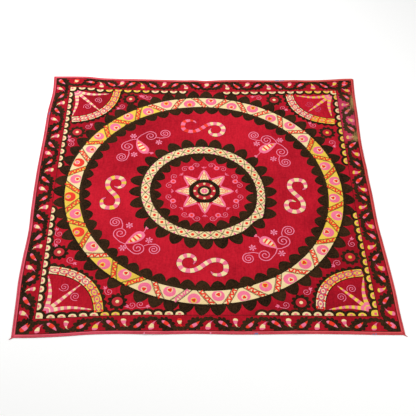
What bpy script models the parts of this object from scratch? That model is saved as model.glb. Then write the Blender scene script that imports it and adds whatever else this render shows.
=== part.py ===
"""Suzani: a square embroidered cotton cloth, bound with a folded tape on all four sides.

It lies face up on a flat surface. Metres, +Z up, +Y towards the far edge.
"""

import math

import bmesh
import bpy
import numpy as np

# Driving dimensions
SIDE = 2.100  # corner to corner along one edge
CENTRE = (-0.0001, -0.0061)  # middle of the bound outline's box in the plan below
CLOTH = 0.0016  # cotton ground with its embroidery's backing
TAPE = 0.0007  # one layer of the binding
GAP = 0.0003  # between the cloth and each layer of the tape
TAPE_WIDTH = 0.019  # seen on the face; as much again is folded under
STACK = 2 * TAPE + 2 * GAP + CLOTH  # through both layers of tape and the cloth
FOLD_STEPS = 4  # facets round the fold of the tape
CLOTH_INSET = 0.0020  # cloth's raw edge behind the fold
SEAT = 0.0205  # the cloth lies over the under layer out to here
SETTLED = 0.045  # and is down on the floor from here on
CORNER_ROWS = (0.011, 0.024)  # rows that shape the corners, measured along each edge
CELLS = 32  # cells across the middle of the cloth
MITRE_EASE = TAPE + GAP  # each strip stops this short of the corner's mitre
MITRE_LEAN = (1.0, 0.5)  # share of the mitre's slant in a strip's end row and in the next one
ROUNDING = 0.016  # of the far right corner
TAIL = 0.017  # length of the tape's pointed end at each near corner
TAIL_ROOT = 0.012  # the tail narrows to nothing this far in from the fold

# How far each edge runs inside the straight line between its corners
EDGE_COLUMNS = ("along", "inward_mm")
EDGES = {
    "left": [(0.0, -1.5), (0.06, -5), (0.11, -8.5), (0.17, -13.5), (0.23, -11.5), (0.35, -3),
             (0.42, -9), (0.60, -12.5), (0.72, -8), (0.84, -6.5), (0.92, 4.5), (1.0, -3)],
    "right": [(0.0, -2), (0.07, 2.5), (0.13, 2.5), (0.24, 11.5), (0.37, 25.5), (0.48, 24), (0.54, 26),
              (0.59, 25), (0.64, 29), (0.70, 27), (0.82, 14.5), (0.93, 4.5), (1.0, -7)],
    "near": [(0.0, -4), (0.06, -3), (0.14, 6), (0.185, 14), (0.25, 18.5), (0.38, 15.5), (0.455, 18),
             (0.56, 13.5), (0.78, 15), (0.85, 12.5), (0.95, 8), (1.0, 7.5)],
    "far": [(0.0, -2.5), (0.08, -3.5), (0.115, -1.5), (0.15, 9.5), (0.20, 19), (0.26, 19.5),
            (0.38, 27), (0.44, 30.5), (0.50, 35), (0.54, 28), (0.64, 22), (0.70, 24), (0.75, 23),
            (0.80, 19), (0.84, 21), (0.88, 18.5), (0.92, 12), (0.96, 3.5), (1.0, -1)],
}

# Soft ridges that stand up from the floor: middle, heading, half length, half width, height
RIDGE_COLUMNS = ("x", "y", "heading", "reach", "spread", "rise_mm")
RIDGES = [
    (0.56, -0.02, 0, 0.22, 0.075, 4.0),
    (0.17, 0.55, 72, 0.20, 0.070, 3.0),
    (0.95, 0.30, 12, 0.20, 0.090, 4.5),
    (0.92, -0.38, -14, 0.20, 0.085, 3.5),
    (-0.96, 0.16, 4, 0.22, 0.095, 4.0),
    (-0.92, -0.52, -10, 0.20, 0.085, 3.0),
    (-0.07, 0.98, 84, 0.20, 0.085, 4.5),
    (-0.62, 0.96, 100, 0.18, 0.080, 3.0),
    (-0.33, -0.95, 96, 0.20, 0.090, 3.5),
    (0.48, -0.96, 82, 0.18, 0.085, 3.0),
    (-0.55, 0.36, 135, 0.26, 0.085, 2.5),
    (0.34, -0.62, 40, 0.22, 0.080, 2.5),
]


def clear_scene():
    for item in list(bpy.data.objects):
        bpy.data.objects.remove(item, do_unlink=True)


def inward(edge, along):
    """Metres inside the straight edge, on a smooth curve through the table's rows."""
    rows = [dict(zip(EDGE_COLUMNS, row)) for row in EDGES[edge]]
    spots = np.array([row["along"] for row in rows])
    depths = np.array([row["inward_mm"] for row in rows]) / 1000
    slopes = np.gradient(depths, spots)
    i = int(np.clip(np.searchsorted(spots, along) - 1, 0, len(spots) - 2))
    span = spots[i + 1] - spots[i]
    f = (along - spots[i]) / span
    start, end = depths[i], depths[i + 1]
    lean = span * (slopes[i] * f * (1 - f) ** 2 - slopes[i + 1] * f * f * (1 - f))
    return start + (end - start) * f * f * (3 - 2 * f) + lean


def rise(x, y):
    """Height of the cloth's underside above the floor where a soft ridge crosses."""
    height = 0.0
    for row in RIDGES:
        ridge = dict(zip(RIDGE_COLUMNS, row))
        turn = math.radians(ridge["heading"])
        dx, dy = x - ridge["x"], y - ridge["y"]
        along = (dx * math.cos(turn) + dy * math.sin(turn)) / ridge["reach"]
        across = (dy * math.cos(turn) - dx * math.sin(turn)) / ridge["spread"]
        if abs(along) < 1 and abs(across) < 1:
            crown = math.cos(across * math.pi / 2) ** 2 * math.cos(along * math.pi / 2) ** 2
            height += crown * ridge["rise_mm"] / 1000
    return height


def place(s, t):
    """Plan position of a spot: s runs from the left edge to the right, t from near to far."""
    left = -SIDE / 2 + inward("left", t)
    right = SIDE / 2 - inward("right", t)
    near = -SIDE / 2 + inward("near", s)
    far = SIDE / 2 - inward("far", s)
    x, y = left + s * (right - left), near + t * (far - near)
    # the far right corner is turned on a small radius
    p, q = ROUNDING - (1 - s) * SIDE, ROUNDING - (1 - t) * SIDE
    if p > 0 and q > 0:
        squeeze = max(p, q) / math.hypot(p, q)
        x += p * (squeeze - 1)
        y += q * (squeeze - 1)
    return x, y


def lay(x, y, z):
    """A point of the layered stack, lifted with the ridges and centred on the origin."""
    return x - CENTRE[0], y - CENTRE[1], z + rise(x, y)


def stations(ends):
    """Places along an edge, as shares of its length: the given ends, and even cells between."""
    middle = np.linspace(SETTLED / SIDE, 1 - SETTLED / SIDE, CELLS + 1)
    first = np.array(ends) / SIDE
    return np.concatenate([first, middle, 1 - first[::-1]])


def sheet_grid(name, columns, rows, shape):
    """An open sheet of columns by rows points, each set by shape(i, j)."""
    mesh = bpy.data.meshes.new(name)
    bm = bmesh.new()
    bmesh.ops.create_grid(bm, x_segments=columns - 1, y_segments=rows - 1, size=1.0)
    for vert in bm.verts:
        i = round((vert.co.x + 1) / 2 * (columns - 1))
        j = round((vert.co.y + 1) / 2 * (rows - 1))
        vert.co = shape(i, j)
    bm.to_mesh(mesh)
    bm.free()
    return mesh


def add_material(obj, name, colour, roughness):
    material = bpy.data.materials.new(name)
    material.use_nodes = True
    shader = material.node_tree.nodes["Principled BSDF"]
    shader.inputs["Base Color"].default_value = (*colour, 1)
    shader.inputs["Roughness"].default_value = roughness
    shader.inputs["Metallic"].default_value = 0
    obj.data.materials.append(material)


def thicken(obj, thickness, offset):
    solid = obj.modifiers.new("thickness", "SOLIDIFY")
    solid.thickness = thickness
    solid.offset = offset
    solid.use_even_offset = True


def make_cloth(collection):
    """The ground cloth: one sheet, seated on the tape's under layer all round."""
    spots = stations((CLOTH_INSET, CORNER_ROWS[0], SEAT))
    seat = TAPE + GAP

    def on_tape(share):
        return min(share, 1 - share) * SIDE < (SEAT + SETTLED) / 2

    def shape(i, j):
        s, t = spots[i], spots[j]
        x, y = place(s, t)
        return lay(x, y, seat if on_tape(s) or on_tape(t) else 0.0)

    mesh = sheet_grid("cloth", len(spots), len(spots), shape)
    cloth = bpy.data.objects.new("cloth", mesh)
    collection.objects.link(cloth)
    add_material(cloth, "crimson cotton ground", (0.48, 0.012, 0.030), 0.85)
    thicken(cloth, CLOTH, 1.0)
    return cloth


def tape_section():
    """Distance in from the fold and height, over the tape's outer face, top to underside."""
    radius = STACK / 2
    section = [(TAPE_WIDTH, STACK), (TAPE_WIDTH / 2, STACK)]
    for step in range(FOLD_STEPS + 1):
        turn = math.pi * step / FOLD_STEPS
        section.append((radius - radius * math.sin(turn), radius + radius * math.cos(turn)))
    section += [(TAPE_WIDTH / 2, 0.0), (TAPE_WIDTH, 0.0)]
    return section


def make_binding(collection, edge, tails):
    """One strip of tape folded over an edge and mitred at both corners."""
    section = tape_section()
    spots = stations((0.0, *CORNER_ROWS))
    last = len(spots) - 1

    def shape(i, j):
        depth, height = section[j]
        # the rows at each end lean with the mitre, and the rest stand square to the edge
        row = min(i, last - i)
        share = MITRE_LEAN[row] if row < len(MITRE_LEAN) else 0.0
        lean = share * (depth + MITRE_EASE) / SIDE
        along = spots[i] + (lean if i <= last / 2 else -lean)
        across = depth / SIDE
        s, t = {"near": (along, across), "far": (along, 1 - across),
                "left": (across, along), "right": (1 - across, along)}[edge]
        x, y = place(s, t)
        if i in tails:
            pull = TAIL * max(0.0, 1 - depth / TAIL_ROOT) / math.sqrt(2)
            x += pull if i == last else -pull
            y -= pull
        return lay(x, y, height)

    mesh = sheet_grid("binding_" + edge, len(spots), len(section), shape)
    strip = bpy.data.objects.new("binding_" + edge, mesh)
    collection.objects.link(strip)
    add_material(strip, "rose red tape " + edge, (0.60, 0.055, 0.085), 0.8)
    # the strips run the same way along their edges, so two of them face the other way
    thicken(strip, TAPE, -1.0)
    if edge in ("near", "right"):
        mesh.flip_normals()
    return strip


def build():
    clear_scene()
    collection = bpy.data.collections.new("suzani")
    bpy.context.scene.collection.children.link(collection)
    make_cloth(collection)
    last = CELLS + 2 * len(CORNER_ROWS) + 2
    for edge, tails in (("near", (0, last)), ("far", ()), ("left", ()), ("right", ())):
        make_binding(collection, edge, tails)


build()
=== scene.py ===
import math

import bpy
import numpy as np
from mathutils import Matrix, Vector


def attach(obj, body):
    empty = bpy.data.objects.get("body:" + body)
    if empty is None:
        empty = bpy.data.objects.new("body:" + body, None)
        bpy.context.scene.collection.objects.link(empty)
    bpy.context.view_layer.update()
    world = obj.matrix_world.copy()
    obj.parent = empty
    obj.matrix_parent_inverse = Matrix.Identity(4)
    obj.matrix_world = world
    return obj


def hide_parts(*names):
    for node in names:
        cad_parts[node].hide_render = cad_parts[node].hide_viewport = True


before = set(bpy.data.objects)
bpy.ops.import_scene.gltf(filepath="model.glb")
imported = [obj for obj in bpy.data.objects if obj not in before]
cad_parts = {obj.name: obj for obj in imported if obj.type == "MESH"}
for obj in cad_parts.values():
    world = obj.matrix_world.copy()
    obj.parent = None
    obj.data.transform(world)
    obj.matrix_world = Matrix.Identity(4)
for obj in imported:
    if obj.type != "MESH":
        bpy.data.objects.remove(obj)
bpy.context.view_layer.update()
print("suzani: frame loaded")


# The cloth as it lies. Plan: x to the right, y towards the far edge, metres, corners near +-1.05.
cloth = {
    "side": 2.100, "centreX": -0.0001, "centreY": -0.0061,
    "thick": 0.0016, "tapeThick": 0.0007, "gap": 0.0003, "tapeWidth": 0.019,
    "overTape": 0.0205, "settled": 0.045, "cornerRound": 0.016, "edgeInset": 0.0020,
    "gridCells": 168, "puckerHeight": 0.0012, "tail": 0.017, "tailRoot": 0.012,
}

# Along each edge, and how far it runs inside the straight line between its corners, in mm
edgeBow = {
    "left": [(0.0, -1.5), (0.06, -5), (0.11, -8.5), (0.17, -13.5), (0.23, -11.5), (0.35, -3),
             (0.42, -9), (0.60, -12.5), (0.72, -8), (0.84, -6.5), (0.92, 4.5), (1.0, -3)],
    "right": [(0.0, -2), (0.07, 2.5), (0.13, 2.5), (0.24, 11.5), (0.37, 25.5), (0.48, 24), (0.54, 26),
              (0.59, 25), (0.64, 29), (0.70, 27), (0.82, 14.5), (0.93, 4.5), (1.0, -7)],
    "near": [(0.0, -4), (0.06, -3), (0.14, 6), (0.185, 14), (0.25, 18.5), (0.38, 15.5), (0.455, 18),
             (0.56, 13.5), (0.78, 15), (0.85, 12.5), (0.95, 8), (1.0, 7.5)],
    "far": [(0.0, -2.5), (0.08, -3.5), (0.115, -1.5), (0.15, 9.5), (0.20, 19), (0.26, 19.5),
            (0.38, 27), (0.44, 30.5), (0.50, 35), (0.54, 28), (0.64, 22), (0.70, 24), (0.75, 23),
            (0.80, 19), (0.84, 21), (0.88, 18.5), (0.92, 12), (0.96, 3.5), (1.0, -1)],
}

# Soft folds that stand off the floor: x, y, heading, reach, spread, rise in mm
foldColumns = ("x", "y", "heading", "reach", "spread", "rise")
softFolds = [
    (0.56, -0.02, 0, 0.22, 0.075, 4.0), (0.17, 0.55, 72, 0.20, 0.070, 3.0),
    (0.95, 0.30, 12, 0.20, 0.090, 4.5), (0.92, -0.38, -14, 0.20, 0.085, 3.5),
    (-0.96, 0.16, 4, 0.22, 0.095, 4.0), (-0.92, -0.52, -10, 0.20, 0.085, 3.0),
    (-0.07, 0.98, 84, 0.20, 0.085, 4.5), (-0.62, 0.96, 100, 0.18, 0.080, 3.0),
    (-0.33, -0.95, 96, 0.20, 0.090, 3.5), (0.48, -0.96, 82, 0.18, 0.085, 3.0),
    (-0.55, 0.36, 135, 0.26, 0.085, 2.5), (0.34, -0.62, 40, 0.22, 0.080, 2.5),
]


def smoothTable(rows, along):
    # smooth curve through (along, value) rows
    spots, values = np.array(rows, float).T
    slopes = np.gradient(values, spots)
    along = np.clip(along, spots[0], spots[-1])
    i = np.clip(np.searchsorted(spots, along) - 1, 0, len(spots) - 2)
    span = spots[i + 1] - spots[i]
    f = (along - spots[i]) / span
    lean = span * (slopes[i] * f * (1 - f) ** 2 - slopes[i + 1] * f * f * (1 - f))
    return values[i] + (values[i + 1] - values[i]) * f * f * (3 - 2 * f) + lean


def inward(edge, along):
    return smoothTable(edgeBow[edge], np.clip(along, 0, 1)) / 1000


def edgeLines(s, t):
    # where the left, right, near and far edges run, at a spot's shares of the way across and up
    half = cloth["side"] / 2
    return (inward("left", t) - half, half - inward("right", t),
            inward("near", s) - half, half - inward("far", s))


def place(s, t):
    # plan position of a spot: s from left to right, t from near to far
    side, r = cloth["side"], cloth["cornerRound"]
    left, right, near, far = edgeLines(s, t)
    x, y = left + s * (right - left), near + t * (far - near)
    p, q = np.maximum(r - (1 - s) * side, 0), np.maximum(r - (1 - t) * side, 0)
    inCorner = (p > 0) & (q > 0)
    reach = np.where(inCorner, np.hypot(p, q), 1)
    squeeze = np.where(inCorner, np.maximum(p, q) / reach, 1)
    return x + p * (squeeze - 1), y + q * (squeeze - 1)


def centred(x, y, z):
    # from the plan to the part's own origin
    return np.stack([x - cloth["centreX"], y - cloth["centreY"], z], -1)


def foldRise(x, y):
    height = np.zeros(np.broadcast(x, y).shape)
    for row in softFolds:
        fold = dict(zip(foldColumns, row))
        turn = math.radians(fold["heading"])
        dx, dy = x - fold["x"], y - fold["y"]
        along = np.clip((dx * math.cos(turn) + dy * math.sin(turn)) / fold["reach"], -1, 1)
        across = np.clip((dy * math.cos(turn) - dx * math.sin(turn)) / fold["spread"], -1, 1)
        crown = np.cos(across * math.pi / 2) ** 2 * np.cos(along * math.pi / 2) ** 2
        height += crown * fold["rise"] / 1000
    return height


def edgeDistance(x, y):
    left, right, near, far = edgeLines(x / cloth["side"] + 0.5, y / cloth["side"] + 0.5)
    return np.minimum.reduce([x - left, right - x, y - near, far - y])


# Drawn-in ground between the embroidery: wave length and heading of each soft wave
puckerWaves = [(0.093, 20), (0.117, 75), (0.141, 128), (0.203, 160), (0.265, 50)]


def pucker(x, y):
    total = np.zeros(np.broadcast(x, y).shape)
    for i, (length, heading) in enumerate(puckerWaves):
        turn = math.radians(heading)
        phase = 2 * math.pi * (x * math.cos(turn) + y * math.sin(turn)) / length
        total += np.sin(phase + 1.7 * i + 1.5 * np.sin(phase * 0.23 + i))
    return (total / len(puckerWaves) + 1) / 2 * cloth["puckerHeight"]


def undersideHeight(x, y):
    # the cloth lies on the tape's under layer round its rim
    d = edgeDistance(x, y)
    ramp = (cloth["settled"] - d) / (cloth["settled"] - cloth["overTape"])
    seat = (cloth["tapeThick"] + cloth["gap"]) * np.clip(ramp, 0, 1)
    free = np.clip((d - 0.03) / 0.06, 0, 1)
    return foldRise(x, y) + seat + pucker(x, y) * free


def faceHeight(x, y):
    return undersideHeight(x, y) + cloth["thick"]


# Sun fade along the far part of the right border, where reds go to a dull pink
fade = {"fromX": 0.895, "softX": 0.045, "fromY": 0.43, "toY": 0.86, "softY": 0.07}
# Tan stains on that side, at the edge for the most part: x, y, reach in x and in y, strength
stainColour = "#A48650"
stainColumns = ("x", "y", "reachX", "reachY", "strength")
stains = [(1.030, 0.800, 0.050, 0.080, 1.0), (1.012, 0.465, 0.045, 0.065, 0.9),
          (0.985, 0.620, 0.040, 0.060, 0.35), (0.962, 0.440, 0.035, 0.045, 0.5),
          (0.985, 0.720, 0.035, 0.050, 0.4), (1.000, 0.905, 0.060, 0.050, 0.35)]


def fadeAt(x, y):
    # 0 as dyed, 1 fully faded
    side = np.clip((x - fade["fromX"]) / fade["softX"], 0, 1)
    start = np.clip((y - fade["fromY"]) / fade["softY"] + 0.5, 0, 1)
    end = np.clip((fade["toY"] - y) / fade["softY"] + 0.5, 0, 1)
    patchy = 0.74 + 0.26 * np.sin(x * 61 + 2.0 * np.sin(y * 23)) * np.sin(y * 37 + 1.1)
    return np.clip(side * start * end * patchy, 0, 1)


def stainAt(x, y):
    total = np.zeros(np.shape(x))
    for row in stains:
        stain = dict(zip(stainColumns, row))
        away = np.hypot((x - stain["x"]) / stain["reachX"], (y - stain["y"]) / stain["reachY"])
        total += stain["strength"] * np.clip(1.25 - away, 0, 1)
    return np.clip(total, 0, 1)


# Thread lies in pads. Metres: their rounded rims, the strips and rings of faces in them, how far
# they reach below the cloth's face, and the height of the lowest layer and of each one over it
padLook = {"ribbonRim": 0.004, "strip": 0.014, "rim": 0.003, "ring": 0.022, "sink": -0.0005, "lowest": 0.0005,
           "layer": 0.00035}

dice = np.random.default_rng(1195)
# A spool gathers all the stitched shapes of one piece, by area and thread
spools, spoolParts = {}, ("points", "heights", "grain", "dye", "quads")


def wind(area, thread, points, heights, quads, caps, grain):
    spool = spools.setdefault((area, thread), {"caps": [], "count": 0, **{part: [] for part in spoolParts}})
    start = spool["count"]
    dye = np.full(len(points), dice.random())
    for part, values in zip(spoolParts, (points, heights, grain, dye, quads + start)):
        spool[part].append(values)
    spool["caps"] += [[i + start for i in cap] for cap in caps]
    spool["count"] = start + len(points)


def tubeQuads(n, m):
    # n rows of m points, each row closed on itself
    i, j = np.meshgrid(np.arange(n - 1), np.arange(m), indexing="ij")
    k = (j + 1) % m
    return np.stack([i * m + j, (i + 1) * m + j, (i + 1) * m + k, i * m + k], -1).reshape(-1, 4)


def runLength(points):
    return np.concatenate([[0], np.cumsum(np.hypot(*np.diff(points, axis=0).T))])


def addRibbon(area, thread, right, left, level, crown=0.0003, grainTurn=90, bend=None):
    # a closed pad between two edges, given as points from its start to its end
    ends = np.array([right, left], float)
    real = bend(ends.reshape(-1, 2)).reshape(ends.shape) if bend else ends
    width = np.hypot(*(real[1] - real[0]).T).max()
    rim = min(0.12, padLook["ribbonRim"] / width)
    middle = np.linspace(rim, 1 - rim, max(3, int(width / padLook["strip"]) + 2))
    shares = np.concatenate([[0, 0], middle, [1, 1]])
    lift, sink = padLook["lowest"] + padLook["layer"] * level, padLook["sink"]
    rises = [sink, lift * 0.5, *(lift + crown * (4 * middle * (1 - middle)) ** 0.5), lift * 0.5, sink]
    n, m = len(ends[0]), len(shares)
    points = ends[0][:, None] * (1 - shares)[None, :, None] + ends[1][:, None] * shares[None, :, None]
    if bend:
        points = bend(points.reshape(-1, 2)).reshape(n, m, 2)
    run = np.diff(points[:, m // 2], axis=0)
    over = points[:-1, -1] - points[:-1, 0]
    if np.sum(run[:, 0] * over[:, 1] - run[:, 1] * over[:, 0]) < 0:
        points = points[:, ::-1]
    along = np.concatenate([[0], np.cumsum(np.hypot(*run.T))])
    across = (shares - 0.5)[None] * np.hypot(*(points[:, -1] - points[:, 0]).T)[:, None]
    grain = setDown(np.c_[np.repeat(along, m), across.ravel()], (0, 0), -grainTurn)
    caps = [list(range(m)), list(range(n * m - 1, (n - 1) * m - 1, -1))]
    wind(area, thread, points.reshape(-1, 2), np.tile(rises, n), tubeQuads(n, m), caps, grain)


def sideways(spine):
    run = np.gradient(np.asarray(spine, float), axis=0)
    run /= np.maximum(np.hypot(*run.T), 1e-9)[:, None]
    return np.c_[-run[:, 1], run[:, 0]]


def addStrand(area, thread, spine, half, level, grainTurn=90):
    # a pad of the given half widths along a spine
    offset = sideways(spine) * np.broadcast_to(half, len(spine))[:, None]
    addRibbon(area, thread, spine - offset, spine + offset, level, grainTurn=grainTurn)


def addPad(area, thread, outline, level, crown=0.0004, centre=None, grainTurn=0):
    # a closed, slightly domed pad inside an outline that can be seen whole from its centre
    outline = np.asarray(outline, float)
    x, y = outline.T
    if np.sum(x * np.roll(y, -1) - y * np.roll(x, -1)) < 0:
        outline = outline[::-1]
    centre = outline.mean(0) if centre is None else np.asarray(centre, float)
    n, spread = len(outline), outline - centre
    reach = np.hypot(*spread.T).max()
    rim = 1 - min(0.15, padLook["rim"] / reach)
    steps = [*np.linspace(0, rim, int(reach / padLook["ring"]) + 2)[1:-1], rim]
    rings = [centre + spread * f for f in steps] + [outline, outline]
    lift, sink = padLook["lowest"] + padLook["layer"] * level, padLook["sink"]
    rises = [lift + crown * (1 - f * f) for f in steps] + [lift * 0.5, sink]
    points = np.concatenate([[centre], *rings, [centre]])
    heights = np.concatenate([[lift + crown], np.repeat(rises, n), [sink]])
    last = len(points) - 1
    pairs = [(i, (i + 1) % n) for i in range(n)]
    caps = [[0, 1 + a, 1 + b] for a, b in pairs] + [[last, last - n + b, last - n + a] for a, b in pairs]
    grain = setDown(points - centre, (0, 0), -grainTurn)
    wind(area, thread, points, heights, tubeQuads(len(rings), n) + 1, caps, grain)


def addLeaf(area, spine, widths, level, parts, crown=0.0004):
    # a shape along a spine, cut across into lengths of thread: parts are (thread, share of its length)
    run = runLength(spine)
    run /= run[-1]
    offset = sideways(spine) * np.broadcast_to(widths, len(spine))[:, None] / 2
    total, done = sum(share for _, share in parts), 0
    for thread, share in parts:
        start, done = done, done + share / total
        inside = run[(run > start + 0.01) & (run < done - 0.01)]
        spots = np.concatenate([[start], inside, [done]])
        right, left = [np.c_[np.interp(spots, run, e[:, 0]), np.interp(spots, run, e[:, 1])]
                       for e in (spine - offset, spine + offset)]
        addRibbon(area, thread, right, left, level, crown)


def leafWidths(n, width, tail=1.0, head=0.5):
    # half pointed, half round: narrow at the tail, widest near the head
    t = np.linspace(0, 1, n)
    shape = np.maximum(t, 1e-4) ** tail * np.maximum(1 - t, 1e-4) ** head
    return width * np.maximum(shape / shape.max(), 0.03)


def smoothCurve(points, steps=8):
    # a smooth run through a few points
    points = np.asarray(points, float)
    gaps = np.hypot(*np.diff(points, axis=0).T) ** 0.7
    spots = np.concatenate([[0], np.cumsum(gaps)])
    fine = np.linspace(0, spots[-1], (len(points) - 1) * steps + 1)
    return np.c_[smoothTable(np.c_[spots, points[:, 0]], fine),
                 smoothTable(np.c_[spots, points[:, 1]], fine)]


def rounded(reach, n=20, lobes=0, depth=0.0, turn=0.0, centre=(0, 0), power=1.0):
    # a circle, or a ring of lobes round it; a lower power makes the lobes rounder
    angle = np.linspace(0, 2 * math.pi, n, endpoint=False)
    r = reach * (1 - depth + depth * np.abs(np.cos(angle * lobes / 2 + turn)) ** power) if lobes else reach
    return np.c_[centre[0] + r * np.cos(angle), centre[1] + r * np.sin(angle)]


def setDown(points, centre, heading, flip=1):
    # turns local points (forward, left) to a heading, in degrees from +x
    turn = math.radians(heading)
    points = np.asarray(points, float) * (1, flip)
    x = points[:, 0] * math.cos(turn) - points[:, 1] * math.sin(turn)
    y = points[:, 0] * math.sin(turn) + points[:, 1] * math.cos(turn)
    return np.c_[x + centre[0], y + centre[1]]


def headingOf(start, end):
    return math.degrees(math.atan2(end[1] - start[1], end[0] - start[0]))


def coordinates(mesh):
    spots = np.empty(len(mesh.vertices) * 3)
    mesh.vertices.foreach_get("co", spots)
    return spots.reshape(-1, 3)


def setLayers(mesh, **layers):
    # a value at each vertex: how the sun and the stains reached it, and the piece's own ones
    x, y = (coordinates(mesh)[:, :2] + (cloth["centreX"], cloth["centreY"])).T
    for name, values in {"fade": fadeAt(x, y), "stain": stainAt(x, y), **layers}.items():
        mesh.attributes.new(name, "FLOAT", "POINT").data.foreach_set("value", values)


def setGrain(mesh, grain):
    # the piece's own map: metres along and across its thread
    corner = np.empty(len(mesh.loops), int)
    mesh.loops.foreach_get("vertex_index", corner)
    mesh.uv_layers.new(name="grain").data.foreach_set("uv", grain[corner].ravel())


def newMesh(name, points, faces, edges=()):
    mesh = bpy.data.meshes.new(name)
    mesh.from_pydata(np.asarray(points).tolist(), edges, faces)
    return mesh


def newObject(name, data):
    item = bpy.data.objects.new(name, data)
    bpy.context.scene.collection.objects.link(item)
    return item


pieces = {}


def addPiece(name, mesh, material=None, sharp=50):
    if material is not None:
        mesh.materials.clear()
        mesh.materials.append(material)
    mesh.shade_smooth()
    mesh.set_sharp_from_angle(angle=math.radians(sharp))
    pieces[name] = newObject(name, mesh)


def sewPiece(name, spool, material):
    # lays a spool's shapes on the cloth as one mesh
    points, heights, grain, dye, quads = [np.concatenate(spool[part]) for part in spoolParts]
    x, y = points.T
    mesh = newMesh(name, centred(x, y, faceHeight(x, y) + heights), quads.tolist() + spool["caps"])
    setLayers(mesh, dye=dye)
    setGrain(mesh, grain)
    addPiece(name, mesh, material)


# Nodes, for materials and for Geometry Nodes alike
def addNode(tree, kind, links=None, **settings):
    # links: input name or number, to a value, to (node, output name or number) or to a node;
    # a kind is a shader node's unless it names another family
    other = kind.startswith(("Geometry", "Function", "NodeGroup"))
    node = tree.nodes.new(kind if other else "ShaderNode" + kind)
    for key, value in settings.items():
        setattr(node, key, value)
    for key, value in (links or {}).items():
        socket = pick(node.inputs, key)
        if isinstance(value, bpy.types.Node):
            value = (value, next(s.name for s in value.outputs if s.enabled))
        if isinstance(value, tuple) and isinstance(value[0], bpy.types.Node):
            tree.links.new(pick(value[0].outputs, value[1]), socket)
        else:
            socket.default_value = value
    return node


def pick(sockets, key):
    return sockets[key] if isinstance(key, int) else next(s for s in sockets if s.name == key and s.enabled)


def hexColour(code):
    # sRGB hex to linear
    parts = [int(code[i:i + 2], 16) / 255 for i in (1, 3, 5)]
    return (*[p / 12.92 if p <= 0.04045 else ((p + 0.055) / 1.055) ** 2.4 for p in parts], 1.0)


def waveScale(mm):
    # the wave texture repeats 20 times in 2 pi units at scale 1
    return 1000 / mm * 2 * math.pi / 20


def newMaterial(name, roughness, specular=0.5):
    material = bpy.data.materials.new(name)
    material.use_nodes = True
    shader = material.node_tree.nodes["Principled BSDF"]
    shader.inputs["Roughness"].default_value = roughness
    shader.inputs["Specular IOR Level"].default_value = specular
    return material, material.node_tree, shader


def addUp(tree, shade, sources, clamped=False):
    # weighs textures and layers up into one depth of shade
    for i, (source, weight) in enumerate(sources):
        value = (source, "Fac" if "Fac" in source.outputs else "Value")
        shade = addNode(tree, "Math", {0: value, 1: weight, 2: shade}, operation="MULTIPLY_ADD",
                        use_clamp=clamped and i == len(sources) - 1)
    return shade


def aged(tree, spot, colour, faded):
    # the sun's fading, then the stains, which break up into streaks along the edge. A colour mix takes
    # its share at input 0 and its colours at 6 and 7, and gives its result at 2
    fading = addNode(tree, "Attribute", attribute_name="fade")
    worn = addNode(tree, "Mix", {0: (fading, "Fac"), 6: colour, 7: hexColour(faded)}, data_type="RGBA")
    stain = addNode(tree, "Attribute", attribute_name="stain")
    along = addNode(tree, "Mapping", {"Vector": spot, "Scale": (110.0, 34.0, 110.0)})
    streaks = addNode(tree, "TexNoise", {"Vector": along, "Scale": 1.0, "Detail": 3.0, "Roughness": 0.6})
    depth = addNode(tree, "Math", {0: (stain, "Fac"), 1: 0.55, 2: (streaks, "Fac")}, operation="MULTIPLY_ADD")
    share = addNode(tree, "MapRange", {"Value": depth, "From Min": 0.72, "From Max": 1.02, "To Max": 0.85})
    return addNode(tree, "Mix", {0: share, 6: (worn, 2), 7: hexColour(stainColour)}, data_type="RGBA")


def finishCloth(tree, shader, mixed, height, strength, distance):
    # colour from a mix, and fine relief from the thread or the weave
    bump = addNode(tree, "Bump", {"Height": height, "Strength": strength, "Distance": distance})
    tree.links.new(mixed.outputs[2], shader.inputs["Base Color"])
    tree.links.new(bump.outputs[0], shader.inputs["Normal"])


# Silk threads: colour in the light, colour in the painted shade between the rows and where the dye is deep,
# colour once faded, and the width of a laid row in mm. Real rows are about 1 mm and wouldn't show.
threadColumns = ("colour", "deepDyeAndShade", "faded", "row")
threads = {
    "black": ("#3E2916", "#120A04", "#44301C", 4.2),
    "cream": ("#F3DCA6", "#DDB877", "#D69A8C", 3.0),
    "yellow": ("#EDCB45", "#CC9E28", "#DBA468", 3.0),
    "pink": ("#F37696", "#DA4E74", "#CE6880", 3.0),
    "hotPink": ("#F4607C", "#D63F60", "#CC6472", 3.0),
    "rose": ("#F28CA8", "#D86486", "#CE7A92", 3.0),
    "mutedPink": ("#C44E72", "#9C3056", "#B45A7C", 3.0),
    "orange": ("#F02E0C", "#CA1A0A", "#D0584A", 3.0),
    "crimson": ("#BE0A20", "#9A0818", "#A02050", 3.4),
    "olive": ("#54431C", "#2C220E", "#665632", 3.0),
    "blue": ("#4C78A8", "#2F5080", "#6A88A8", 3.0),
    "tapeThread": ("#A82836", "#7C1522", "#A84860", 2.0),
}


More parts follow.
